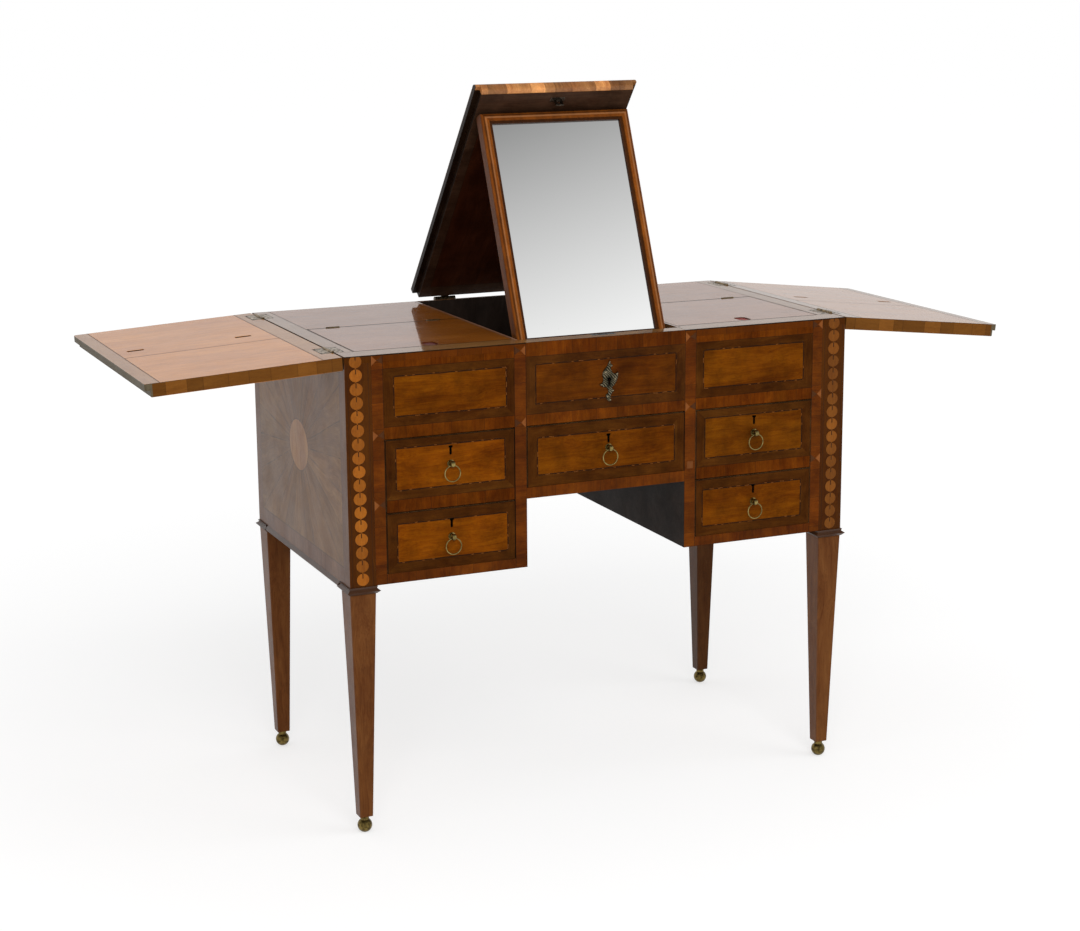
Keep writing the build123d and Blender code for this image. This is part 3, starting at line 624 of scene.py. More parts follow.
def flat_place(bench: Bench, turns: Sequence[Turn]) -> Signal:
    """Object coordinates, turned back to where the part lies flat.

    Args:
        bench: The material's bench.
        turns: The turns that take the part from flat to rest, in order.

    Returns:
        The place as a vector, in metres.
    """
    place = bench.coordinates()
    if not turns:
        return place
    whole = Matrix.Identity(4)
    for turn in turns:
        whole = turn.matrix() @ whole
    back = whole.inverted()
    return bench.fed("ShaderNodeMapping", {"Vector": place, "Location": back.to_translation(),
                                           "Rotation": back.to_euler()}, vector_type="POINT")


@dataclass(frozen=True)
class Gloss:
    """How a finish shines.

    Attributes:
        roughness: Of the wood or metal itself.
        specular: Level of its own reflection.
        coat: Weight of the polish over it.
        coat_roughness: Of the polish.
        bump: Depth of the relief, in metres.
        edge: Radius of the softened edges, in metres.
    """

    roughness: float = 0.42
    specular: float = 0.14
    coat: float = 0.1
    coat_roughness: float = 0.12
    bump: float = 0.00012
    edge: float = 0.0008


FRONT_GLOSS = Gloss(0.42, 0.02)
BAND_GLOSS = Gloss(0.5, 0.05, 0.0, 0.3)
SIDE_GLOSS = Gloss(0.3, 0.04, 0.235, 0.16)
TOP_GLOSS = Gloss(0.38, 0.03, 0.66, 0.05)
FLAP_GLOSS = Gloss(0.36, 0.06, 0.1, 0.08)
LEG_GLOSS = Gloss(0.4, 0.05, 0.0, 0.18)
MOULDING_GLOSS = Gloss(0.34, 0.3, 0.2, 0.16)
DULL_GLOSS = Gloss(0.6, 0.12, 0.0, 0.3)
LEATHER_GLOSS = Gloss(0.55, 0.3, 0.0, 0.3, 0.0003, 0.0006)


def shade(bench: Bench, colour: Value, roughness: Value, height: Value, gloss: Gloss, metallic: float = 0.0,
          coat: Value = None) -> None:
    """Finish a material with its surface shader.

    Args:
        bench: The material's bench.
        colour: Base colour.
        roughness: Base roughness.
        height: Relief from 0 to 1.
        gloss: How it shines.
        metallic: 1 for a metal.
        coat: Weight of the polish where it varies.
    """
    rounded = bench.fed("ShaderNodeBevel", {"Radius": gloss.edge}, samples=4)
    bump = bench.fed("ShaderNodeBump", {"Strength": 1.0, "Distance": gloss.bump, "Height": height,
                                        "Normal": rounded})
    surface = bench.fed("ShaderNodeBsdfPrincipled", {
        "Base Color": colour, "Roughness": roughness, "Normal": bump, "Metallic": metallic,
        "Specular IOR Level": gloss.specular, "Coat Roughness": gloss.coat_roughness,
        "Coat Weight": gloss.coat if coat is None else coat})
    bench.fed("ShaderNodeOutputMaterial", {"Surface": surface})


def new_material(name: str) -> tuple[bpy.types.Material, Bench]:
    """Make an empty node material and its bench.

    Args:
        name: Name of the material.

    Returns:
        The material and its bench.
    """
    made = bpy.data.materials.new(name)
    made.use_nodes = True
    made.node_tree.nodes.clear()
    return made, Bench(made.node_tree)


@dataclass(frozen=True)
class Finish:
    """The recipe of one material.

    Attributes:
        name: Name of the material.
    """

    name: str

    def build(self, effects: Effects) -> bpy.types.Material:
        """Make the material from the shared effect groups.

        Args:
            effects: The shared effect groups.

        Returns:
            The material.
        """
        made, bench = new_material(self.name)
        self.cover(bench, effects)
        return made

    def cover(self, bench: Bench, effects: Effects) -> None:
        """Lay out the nodes of the surface.

        Args:
            bench: The material's bench.
            effects: The shared effect groups.
        """
        raise NotImplementedError

    @staticmethod
    def grained(bench: Bench, effects: Effects, place: Value, colour: Value, figure: float, streak: float,
                seed: float) -> tuple[Signal, Signal]:
        """Colour and relief of wood whose grain runs along X of the place."""
        made = bench.placed(effects.grain, Place=place, Wood=colour, Figure=figure, Streak=streak, Seed=seed)
        return made["Color"], made["Height"]

    @staticmethod
    def aged(bench: Bench, effects: Effects, place: Value, colour: Value, amount: float, dirt_and_shade: float,
             roughness: float, smudge: float) -> tuple[Signal, Signal]:
        """Colour with old dirt on it, and roughness with smudges.

        Args:
            bench: The material's bench.
            effects: The shared effect groups.
            place: Where on the piece.
            colour: Colour without the dirt.
            amount: How much age there is.
            dirt_and_shade: Strength of the dirt.
            roughness: Roughness without the smudges.
            smudge: What a smudge adds to it.

        Returns:
            The colour and the roughness.
        """
        patina = bench.placed(effects.patina, Place=place, Amount=amount)
        return bench.mix(patina["Dirt"] * dirt_and_shade, colour, DIRT), patina["Smudge"] * smudge + roughness


@dataclass(frozen=True)
class Lay:
    """The veneers laid on one show face of a board.

    Attributes:
        face: The plane of the show face.
        level: Depth of the show face, in millimetres.
        zones: The sheets in the order they are laid, later ones over earlier ones.
        coat: Weight of the polish on this face.
        line: Width of the dark lines between the sheets, in millimetres.
        level_line: Width of those that run along the face's first axis.
        reach: How far the show face curves from its level, in millimetres.
    """

    face: Face
    level: float
    zones: tuple[Zone, ...]
    coat: float = 0.0
    line: float = 0.7
    level_line: float = 0.7
    reach: float = 0.6


@dataclass(frozen=True)
class PanelledVeneer(Finish):
    """A board whose show faces are laid with several veneers.

    Attributes:
        lays: The veneers of each show face.
        rest: Wood of the other faces.
        rest_block: Mean length of the pieces on the other faces, or 0.
        rest_grain: Direction of the grain on the other faces.
        gloss: How it shines.
        turns: How the board is turned from flat.
        seed: Number that sets this board apart from its neighbours.
        figure: Strength of the broad figure.
        streak: Strength of the fine streaks.
        smoke: How far old smoke and polish change the tone from place to place.
    """

    REST_SPREAD = 0.24

    lays: tuple[Lay, ...]
    rest: Wood = CARCASS
    rest_block: float = 0.0
    rest_grain: Grain = Grain.LEVEL
    gloss: Gloss = FRONT_GLOSS
    turns: tuple[Turn, ...] = ()
    seed: float = 0.0
    figure: float = 1.1
    streak: float = 0.7
    smoke: float = 0.25

    def cover(self, bench: Bench, effects: Effects) -> None:
        """Lay out the nodes of the surface.

        Args:
            bench: The material's bench.
            effects: The shared effect groups.
        """
        place = flat_place(bench, self.turns)
        parts = bench.split(place)
        colour: Value = linear(self.rest.colour)
        joint: Value = 0.0
        coat: Value = 0.0
        order = (2, 0, 1) if self.rest_grain is Grain.UPRIGHT else (0, 1, 2)
        grain_place = bench.join(*(parts[axis] for axis in order))
        if self.rest_block:
            colour, joint = self.blocks(bench, effects, colour, parts[0] + parts[1], self.rest_block,
                                        self.seed, self.REST_SPREAD)
        for lay in self.lays:
            u, v, depth = (parts[axis] for axis in lay.face.value)
            on_face = abs(depth - lay.level * MM) < lay.reach * MM
            plane = bench.join(u, v, 0.0)
            turned: Value = 0.0
            for index, zone in enumerate(lay.zones):
                edge = bench.placed(effects.outline, Place=plane, Centre=zone.centre(), Half=zone.half())
                mask = on_face * (edge["Distance"] < 0.0)
                laid: Value = linear(tuple(part * zone.tone for part in zone.wood.colour))
                seam: Value = 0.0
                if zone.block:
                    along = u if zone.x1 - zone.x0 > zone.z1 - zone.z0 else v
                    laid, seam = self.blocks(bench, effects, laid, along, zone.block,
                                             self.seed + index * 0.37, zone.spread)
                # Sheets of painted shade take the dark joint colour and lose the polish.
                if zone.wood is PAINTED_SHADE:
                    seam = 1.0
                direction = {Grain.LEVEL: 0.0, Grain.UPRIGHT: 1.0, Grain.FRAMED: edge["Upright"]}
                colour = bench.mix(mask, colour, laid)
                turned = bench.between(mask, turned, direction[zone.grain])
                joint = bench.between(mask, joint, seam)
                if zone.joint:
                    width = bench.between(edge["Upright"], lay.level_line / 2 * MM, lay.line / 2 * MM)
                    joint = bench.most(joint, (abs(edge["Distance"]) < width) * on_face)
            face_place = bench.mix_places(turned, bench.join(u, v, depth), bench.join(v, u, depth))
            grain_place = bench.mix_places(on_face, grain_place, face_place)
            coat = bench.between(on_face, coat, lay.coat)
        shown, relief = self.grained(bench, effects, grain_place, colour, self.figure, self.streak, self.seed)
        shown = bench.mix(joint * 0.85, shown, GLUE)
        shown, rough = self.aged(bench, effects, place, shown, 0.5, 0.25, self.gloss.roughness, 0.14)
        if self.smoke:
            cloud = bench.noise(place, 24, 5, 0.65)
            shown = bench.lit(shown, bench.ramp(cloud, 0.36, 0.64, 1 - self.smoke, 1 + self.smoke))
        shade(bench, shown, rough, relief - joint * 0.4, self.gloss, coat=coat * (1.0 - joint))

    @staticmethod
    def blocks(bench: Bench, effects: Effects, colour: Value, along: Value, length: float, seed: float,
               spread: float) -> tuple[Signal, Signal]:
        """Break a band up into pieces.

        Args:
            bench: The material's bench.
            effects: The shared effect groups.
            colour: Colour of the band.
            along: Place along the band, in metres.
            length: Mean length of a piece, in millimetres.
            seed: Sets the pieces apart from other bands.
            spread: How far the pieces differ in tone.

        Returns:
            The colour with its pieces, and the mask of their joints.
        """
        made = bench.placed(effects.blocks, Along=along, Length=length * MM, Seed=seed)
        tone = bench.ramp(made["Tone"], 0, 1, 1 - spread, 1 + spread)
        return bench.lit(colour, tone), made["Joint"] * 0.6


@dataclass(frozen=True)
class PlainWood(Finish):
    """A piece in one wood.

    Attributes:
        wood: What it is cut from.
        along: Axis of the grain, 0 to 2.
        gloss: How it shines.
        seed: Number that sets this piece apart.
        turns: How the piece is turned from flat.
    """

    wood: Wood
    along: int = 2
    gloss: Gloss = LEG_GLOSS
    seed: float = 0.0
    turns: tuple[Turn, ...] = ()

    def cover(self, bench: Bench, effects: Effects) -> None:
        """Lay out the nodes of the surface.

        Args:
            bench: The material's bench.
            effects: The shared effect groups.
        """
        place = flat_place(bench, self.turns)
        parts = bench.split(place)
        first = parts.pop(self.along)
        shown, relief = self.grained(bench, effects, bench.join(first, *parts), linear(self.wood.colour),
                                     self.wood.figure, self.wood.streak, self.seed)
        shown, rough = self.aged(bench, effects, place, shown, 0.6, 0.35, self.gloss.roughness, 0.16)
        shade(bench, shown, rough, relief, self.gloss)


@dataclass(frozen=True)
class FramedWood(Finish):
    """A mitred frame with a moulded inner edge, whose members have their grain along them.

    Attributes:
        wood: What it is cut from.
        centre: Middle of the frame on its flat face, in millimetres.
        half: Half its width and length, in millimetres.
        sight: Depth of the members, in millimetres.
        turns: How the frame is turned from flat.
    """

    # Painted shade of the groove and painted highlight of the rounding beside it: distance in from the outer
    # edge, width, strength and colour of each line.
    MOULDING_SHADE_AND_HIGHLIGHT = ((0.0044, 0.0013, 0.62, (0.014, 0.006, 0.003, 1)), (0.0074, 0.0012, 0.34, (0.4, 0.2, 0.09, 1)))

    wood: Wood
    centre: tuple[float, float]
    half: tuple[float, float]
    sight: float
    turns: tuple[Turn, ...]

    def cover(self, bench: Bench, effects: Effects) -> None:
        """Lay out the nodes of the surface.

        Args:
            bench: The material's bench.
            effects: The shared effect groups.
        """
        place = flat_place(bench, self.turns)
        x, y, z = bench.split(place)
        edge = bench.placed(effects.outline, Place=bench.join(x, y, 0.0),
                            Centre=(self.centre[0] * MM, self.centre[1] * MM, 0.0),
                            Half=(self.half[0] * MM, self.half[1] * MM, 1.0))
        grain_place = bench.mix_places(edge["Upright"], bench.join(x, y, z), bench.join(y, x, z))
        shown, relief = self.grained(bench, effects, grain_place, linear(self.wood.colour),
                                     self.wood.figure, self.wood.streak, 1.9)
        inward = edge["Distance"] * -1.0
        # The spots are the wood's mottled figure; the level members are darkened as painted shade under the
        # flap.
        spots = bench.ramp(bench.noise(place, (90, 34, 90), 4, 0.7), 0.34, 0.66, 0.72, 1.22)
        shown = bench.lit(shown, bench.between(edge["Upright"], 0.74, 1.0) * spots)
        shadow = bench.ramp(inward, (self.sight - 5.5) * MM, (self.sight - 3.5) * MM)
        shown = bench.mix(shadow * 0.8, shown, (0.01, 0.005, 0.003, 1))
        for middle, width, strength, tint in self.MOULDING_SHADE_AND_HIGHLIGHT:
            lined = bench.ramp(abs(inward - middle), width * 0.5, width * 1.5, strength, 0.0)
            shown = bench.mix(lined, shown, tint)
        # Painted shade on the outer side faces of the members.
        shown = bench.mix((inward < 0.0004) * 0.45, shown, (0.02, 0.014, 0.01, 1))
        shown, rough = self.aged(bench, effects, place, shown, 0.5, 0.0, 0.32, 0.16)
        shade(bench, shown, rough, relief, LEG_GLOSS)


@dataclass(frozen=True)
class SidePanelVeneer(Finish):
    """The fan of wedges round an oval on each side of the case, carried over the leg posts.

    Attributes:
        posts: Whether it also dresses the posts and legs.
        seed: Number that sets this side apart.
        darker: Strength of the painted shade that makes the leg on the right darker than the one on the left,
            0 to 1.
    """

    CHIP = (-0.436, -0.236, 0.372)

    posts: bool = False
    seed: float = 0.3
    darker: float = 0.0

    def cover(self, bench: Bench, effects: Effects) -> None:
        """Lay out the nodes of the surface.

        Args:
            bench: The material's bench.
            effects: The shared effect groups.
        """
        place = bench.coordinates()
        x, y, z = bench.split(place)
        rays = bench.placed(effects.rays, Place=place, Seed=self.seed)
        colour = bench.lit(linear(SIDE_VENEER.colour), bench.ramp(rays["Tone"], 0, 1, 0.86, 1.14))
        border = rays["Border"] > 0.0
        colour = bench.mix(border, colour, linear(SIDE_BORDER.colour))
        colour = bench.mix(rays["Oval"], colour, linear(SIDE_OVAL.colour))
        joint = rays["Joint"] * (1.0 - bench.most(border, rays["Oval"]))
        joint = bench.most(joint, bench.most(abs(rays["Border"]) < 0.0008, rays["Rim"]))
        upright = bench.join(z, y, x)
        show = abs(x) > 0.4424
        other: Value = linear(CARCASS.colour)
        if self.posts:
            show = show * (z > 0.4135)
            strip = (y < -0.2434) * (z > 0.4025)
            lines = abs(abs(abs(x) - 0.4215) - 0.0168) < 0.0004
            other = bench.mix(strip, linear(LEG.colour), linear(POST_STRIP.colour))
            joint = bench.most(bench.between(show, lines * strip, joint), abs(z - 0.402) < 0.0006)
        else:
            joint = joint * show
        grain_place = bench.mix_places(show, upright, bench.mix_places(border, rays["Grain"], upright))
        shown, relief = self.grained(bench, effects, grain_place, bench.mix(show, other, colour), LEG.figure,
                                     LEG.streak, self.seed)
        shown = bench.mix(joint * 0.55, shown, (0.02, 0.011, 0.007, 1))
        chip = bench.length(bench.scaled(bench.vector("SUBTRACT", place, self.CHIP), (1.0, 1.0, 0.6)))
        shown = bench.mix(chip < 0.003, shown, (0.5, 0.38, 0.26, 1))
        # Painted shade on the leg on the right, which stands under the table.
        if self.darker:
            shaded = bench.ramp(x, -0.1, 0.1, 0.0, self.darker) * (1.0 - show)
            shown = bench.mix(shaded, shown, (0.004, 0.003, 0.002, 1))
        shown, rough = self.aged(bench, effects, place, shown, 0.8, 0.2, SIDE_GLOSS.roughness, 0.2)
        facing = bench.split(bench.coordinates("Normal"))[0]
        shade(bench, shown, rough, relief - joint, SIDE_GLOSS, coat=(abs(facing) > 0.7) * SIDE_GLOSS.coat)


def kept_tone(bench: Bench) -> Signal:
    """The tone that a mesh keeps at its points."""
    return bench.fed("ShaderNodeAttribute", {}, "Fac", attribute_type="GEOMETRY", attribute_name="tone")


@dataclass(frozen=True)
class OldMetal(Finish):
    """Brass, gilt bronze or steel with age on it.

    Attributes:
        bright: Colour where it is rubbed bright.
        dull: Colour where it has gone dull.
        age: Share of the dull patches.
        bump: Depth of the pits, in metres.
        chased: Whether the mesh keeps a tone from 0 in the hollows to 1 on the rubbed heights.
    """

    HOLLOW = (32, 32, 24)

    bright: Colour
    dull: Colour
    age: float = 0.7
    bump: float = 0.00006
    chased: bool = False

    def cover(self, bench: Bench, effects: Effects) -> None:
        """Lay out the nodes of the surface.

        Args:
            bench: The material's bench.
            effects: The shared effect groups.
        """
        metal = bench.placed(effects.metal, Place=bench.coordinates(), Bright=linear(self.bright),
                             Dull=linear(self.dull), Age=self.age)
        colour = metal["Color"]
        if self.chased:
            colour = bench.mix(kept_tone(bench), linear(self.HOLLOW), colour)
        gloss = Gloss(0.3, 0.5, 0.0, 0.1, self.bump, 0.0005)
        shade(bench, colour, metal["Roughness"], metal["Height"], gloss, 1.0)


@dataclass(frozen=True)
class InlayWood(Finish):
    """Small inlays whose tone is kept on the mesh, from 0 for dark to 1 for light."""

    dark: Colour
    light: Colour

    def cover(self, bench: Bench, effects: Effects) -> None:
        """Lay out the nodes of the surface.

        Args:
            bench: The material's bench.
            effects: The shared effect groups.
        """
        colour = bench.mix(kept_tone(bench), linear(self.dark), linear(self.light))
        x, y, z = bench.split(bench.coordinates())
        shown, relief = self.grained(bench, effects, bench.join(z, x, y), colour, 0.6, 0.5, 2.6)
        shade(bench, shown, 0.4, relief, FRONT_GLOSS)


@dataclass(frozen=True)
class Leather(Finish):
    """Old red leather of a lid's tab."""

    colour: Colour

    def cover(self, bench: Bench, effects: Effects) -> None:
        """Lay out the nodes of the surface.

        Args:
            bench: The material's bench.
            effects: The shared effect groups.
        """
        place = bench.coordinates()
        worn = bench.ramp(bench.noise(place, 260, 3), 0.45, 0.7)
        colour = bench.mix(worn, linear(self.colour), linear((118, 62, 48)))
        shade(bench, colour, LEATHER_GLOSS.roughness, bench.noise(place, 900, 4, 0.6), LEATHER_GLOSS)


@dataclass(frozen=True)
class MirrorPlate(Finish):
    """Silvered glass with a few specks of age."""

    def cover(self, bench: Bench, effects: Effects) -> None:
        """Lay out the nodes of the surface.

        Args:
            bench: The material's bench.
            effects: The shared effect groups.
        """
        specks = bench.ramp(bench.noise(bench.coordinates(), 420, 3), 0.74, 0.8)
        colour = bench.mix(specks * 0.5, (0.93, 0.935, 0.93, 1), (0.3, 0.28, 0.25, 1))
        surface = bench.fed("ShaderNodeBsdfPrincipled", {"Base Color": colour, "Metallic": 1.0,
                                                         "Roughness": specks * 0.2 + 0.015})
        bench.fed("ShaderNodeOutputMaterial", {"Surface": surface})


# ---------------------------------------------------------------- meshes
def mesh_object(name: str, mesh: bpy.types.Mesh) -> bpy.types.Object:
    """Put a mesh into the scene as an object at the origin.

    Args:
        name: Name of the object.
        mesh: Its mesh.

    Returns:
        The object.
    """
    made = bpy.data.objects.new(name, mesh)
    bpy.context.scene.collection.objects.link(made)
    return made


def dressed(piece: bpy.types.Object, material: bpy.types.Material, body: str) -> None:
    """Give a new piece its finish and the body that it rides on.

    Args:
        piece: The new piece.
        material: Its finish.
        body: Name of the CAD body.
    """
    if not piece.data.materials:
        piece.data.materials.append(material)
    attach(piece, body)
    LOG.info("%s rides on %s", piece.name, body)


COUNT, MATERIAL = "NodeSocketInt", "NodeSocketMaterial"
UPRIGHT = (math.pi / 2, 0, 0)


class Pattern(Bench):
    """A Geometry Nodes tree with named inputs that makes repeated small pieces."""

    def __init__(self, name: str, inputs: dict[str, str]) -> None:
        """Make the empty tree.

        Args:
            name: Name of the pattern.
            inputs: Socket type of each named input, after the geometry.
        """
        tree = bpy.data.node_groups.new(name, "GeometryNodeTree")
        super().__init__(tree)
        for direction in ("INPUT", "OUTPUT"):
            tree.interface.new_socket("Geometry", in_out=direction, socket_type="NodeSocketGeometry")
        self.names = {label: tree.interface.new_socket(label, in_out="INPUT", socket_type=kind).identifier
                      for label, kind in inputs.items()}
        self.given = list(self.outputs(self.node("NodeGroupInput")).values())
        self.result = self.node("NodeGroupOutput").inputs

    def cube(self, *sides: float) -> Signal:
        """A box of three sides."""
        return self.fed("GeometryNodeMeshCube", {"Size": sides})

    def moved(self, geometry: Value, **values: Value) -> Signal:
        """Geometry under a transform, with values by the transform's input names."""
        return self.fed("GeometryNodeTransform", {"Geometry": geometry, **values})

    def on_points(self, points: Value, instance: Value, **values: Value) -> Signal:
        """An instance on every point, with values by the input names."""
        return self.fed("GeometryNodeInstanceOnPoints", {"Points": points, "Instance": instance, **values})

    def toned(self, geometry: Value, tone: Value, domain: str = "INSTANCE") -> Signal:
        """Geometry that keeps a tone for its finish."""
        inputs = {"Geometry": geometry, "Name": "tone", "Value": tone}
        return self.fed("GeometryNodeStoreNamedAttribute", inputs, data_type="FLOAT", domain=domain)

    def chance(self, seed: Value, low: Value = 0.0, high: Value = 1.0) -> Signal:
        """A random number for each point, or a random vector, between two limits.

        Args:
            seed: Sets the draw.
            low: Lower limit, a number or a vector.
            high: Upper limit of the same kind.

        Returns:
            The number or vector.
        """
        vector = isinstance(low, tuple)
        first = 0 if vector else 2
        return self.fed("FunctionNodeRandomValue", {"Seed": seed, first: low, first + 1: high},
                        0 if vector else 1, data_type="FLOAT_VECTOR" if vector else "FLOAT")

    def joined(self, *parts: Signal) -> Signal:
        """Several geometries as one.

        Args:
            *parts: The geometries, the last of them first.

        Returns:
            The joined geometry.
        """
        made = self.node("GeometryNodeJoinGeometry")
        for part in parts:
            self.tree.links.new(part.socket, made.inputs[0])
        return Signal(self, made.outputs[0])

    def close(self, geometry: Signal, material: Signal) -> "Pattern":
        """Realize the instances, set their material, link the result and return the pattern.

        Args:
            geometry: The instances.
            material: The material's input.

        Returns:
            The pattern itself.
        """
        real = self.fed("GeometryNodeRealizeInstances", {"Geometry": geometry})
        coloured = self.fed("GeometryNodeSetMaterial", {"Geometry": real, "Material": material})
        self.feed(self.result[0], coloured)
        return self

    def run(self, name: str, points: Sequence[Sequence[float]], **values: Any) -> bpy.types.Object:
        """Run the tree on a set of points and keep the outcome as a plain mesh.

        Args:
            name: Name of the piece.
            points: Places handed to the tree as vertices, in metres.
            **values: The tree's inputs by name.

        Returns:
            The finished object.
        """
        mesh = bpy.data.meshes.new(name)
        mesh.from_pydata([tuple(point) for point in points], [], [])
        made = mesh_object(name, mesh)
        modifier = made.modifiers.new(name, "NODES")
        modifier.node_group = self.tree
        for label, value in values.items():
            modifier[self.names[label]] = value
        evaluated = made.evaluated_get(bpy.context.evaluated_depsgraph_get())
        final = bpy.data.meshes.new_from_object(evaluated)
        made.modifiers.remove(modifier)
        made.data = final
        final.name = name
        return made


class Patterns:
    """The Geometry Nodes trees, each built once."""

    def __init__(self) -> None:
        """Build all the trees."""
        self.pennies = self.make_pennies()
        self.dashes = self.make_dashes()
        self.screws = self.make_screws()

    @staticmethod
    def make_pennies() -> Pattern:
        """Round inlays in a column, each with a slit of its own and a random tone.

        Returns:
            The pattern.
        """
        tree = Pattern("penny_column", {"Count": COUNT, "Pitch": VALUE, "Radius": VALUE, "Rise": VALUE,
                                        "Seed": COUNT, "Wood": MATERIAL})
        points, count, pitch, radius, rise, seed, wood = tree.given
        line = tree.fed("GeometryNodeMeshLine", {"Count": count, "Start Location": (0, 0, 0),
                                                 "Offset": tree.join(0.0, 0.0, pitch * -1.0)})
        starts = tree.fed("GeometryNodeMeshToPoints", {"Mesh": line})
        disc = tree.fed("GeometryNodeMeshCylinder", {"Vertices": 40, "Radius": radius, "Depth": rise})
        size = tree.chance(seed, (0.96, 1.0, 0.93), (1.03, 1.0, 0.98))
        discs = tree.on_points(starts, tree.moved(disc, Rotation=UPRIGHT), Scale=size)
        parts = [tree.toned(discs, tree.chance(seed + 5.0, 0.6, 1.0))]
        for length, depth, level, tone in ((0.0080, rise * 1.3, 0.0062, 0.12), (0.0026, rise, 0.0108, 0.8)):
            slit = tree.moved(tree.cube(0.0016, 1.0, length), Translation=(0, 0, level),
                              Scale=tree.join(1.0, depth, 1.0))
            parts.append(tree.toned(tree.on_points(starts, slit), tone))
        return tree.close(tree.on_points(points, tree.joined(*reversed(parts))), wood)

    @staticmethod
    def make_dashes() -> Pattern:
        """Light and dark dashes that run round a rectangle on X and Z in shallow waves.

        Returns:
            The pattern.
        """
        tree = Pattern("wavy_stringing", {"Width": VALUE, "Height": VALUE, "Dash": VALUE, "Wave": VALUE,
                                          "Swing": VALUE, "Line": VALUE, "Light": VALUE, "Seed": COUNT,
                                          "Wood": MATERIAL})
        points, width, height, dash, wave, swing, line, light, seed, wood = tree.given
        frame = tree.fed("GeometryNodeCurvePrimitiveQuadrilateral", {"Width": width, "Height": height})
        stepped = tree.fed("GeometryNodeResampleCurve", {"Curve": frame, "Length": dash}, mode="LENGTH")
        along = tree.fed("GeometryNodeSplineParameter", {}, "Length")
        away = abs(tree.math("SINE", along / wave * math.pi)) * swing
        offset = tree.vector("MULTIPLY", tree.fed("GeometryNodeInputNormal", {}), tree.join(away, away, 0.0))
        waved = tree.fed("GeometryNodeSetPosition", {"Geometry": stepped, "Offset": offset})
        facing = tree.fed("FunctionNodeAlignRotationToVector",
                          {"Vector": tree.fed("GeometryNodeInputTangent", {})}, axis="X", pivot_axis="Z")
        bit = tree.moved(tree.cube(1.0, 1.0, 0.0003), Scale=tree.join(dash * 1.02, line, 1.0))
        odd = tree.math("FLOOR", tree.fed("GeometryNodeInputIndex", {}) / 2.0) % 2.0
        wish = tree.chance(seed) * 0.7 + odd * 0.3
        shown = tree.toned(tree.on_points(waved, bit, Rotation=facing), wish < light)
        return tree.close(tree.on_points(points, tree.moved(shown, Rotation=UPRIGHT)), wood)

    @staticmethod
    def make_screws() -> Pattern:
        """Slotted screw heads with their axis along Z, each slot turned at random.

        Returns:
            The pattern.
        """
        tree = Pattern("slotted_screws", {"Radius": VALUE, "Seed": COUNT, "Metal": MATERIAL})
        mesh, radius, seed, metal = tree.given
        head = tree.fed("GeometryNodeMeshCone", {"Vertices": 20, "Fill Segments": 1, "Depth": 0.0003,
                                                 "Radius Bottom": radius, "Radius Top": radius * 0.82})
        slot = tree.moved(tree.cube(1.0, 0.00055, 0.00014), Translation=(0, 0, 0.00025),
                          Scale=tree.join(radius * 1.5, 1.0, 1.0))
        screw = tree.joined(tree.toned(slot, 0.0, "POINT"), tree.toned(head, 1.0, "POINT"))
        placed = tree.on_points(tree.fed("GeometryNodeMeshToPoints", {"Mesh": mesh}), screw)
        spin = tree.chance(seed, (0, 0, 0), (0, 0, math.pi))
        turned = tree.fed("GeometryNodeRotateInstances", {"Instances": placed, "Rotation": spin})
        return tree.close(turned, metal)


def closed(name: str, shape: bmesh.types.BMesh) -> bpy.types.Object:
    """Turn a built-up shape into an object, with its faces turned outwards.

    Args:
        name: Name of the piece.
        shape: The shape, which is freed.

    Returns:
        The object.
    """
    bmesh.ops.recalc_face_normals(shape, faces=shape.faces)
    mesh = bpy.data.meshes.new(name)
    shape.to_mesh(mesh)
    shape.free()
    return mesh_object(name, mesh)


def prisms(name: str, outlines: Iterable[tuple[Sequence[tuple[float, float]], float, float, float]],
           ) -> bpy.types.Object:
    """Make flat inlays on the front as thin prisms with a tone each.

    Args:
        name: Name of the piece.
        outlines: For each, its corners in X and Z, the depths of its back and front, and its tone.

    Returns:
        The finished object.
    """
    shape = bmesh.new()
    layer = shape.verts.layers.float.new("tone")
    for corners, back, front, tone in outlines:
        rows = [[shape.verts.new((x * MM, y * MM, z * MM)) for x, z in corners] for y in (back, front)]
        for vertex in rows[0] + rows[1]:
            vertex[layer] = tone
        shape.faces.new(rows[0])
        shape.faces.new(rows[1])
        for a in range(len(corners)):
            b = (a + 1) % len(corners)
            shape.faces.new((rows[0][a], rows[0][b], rows[1][b], rows[1][a]))
    return closed(name, shape)


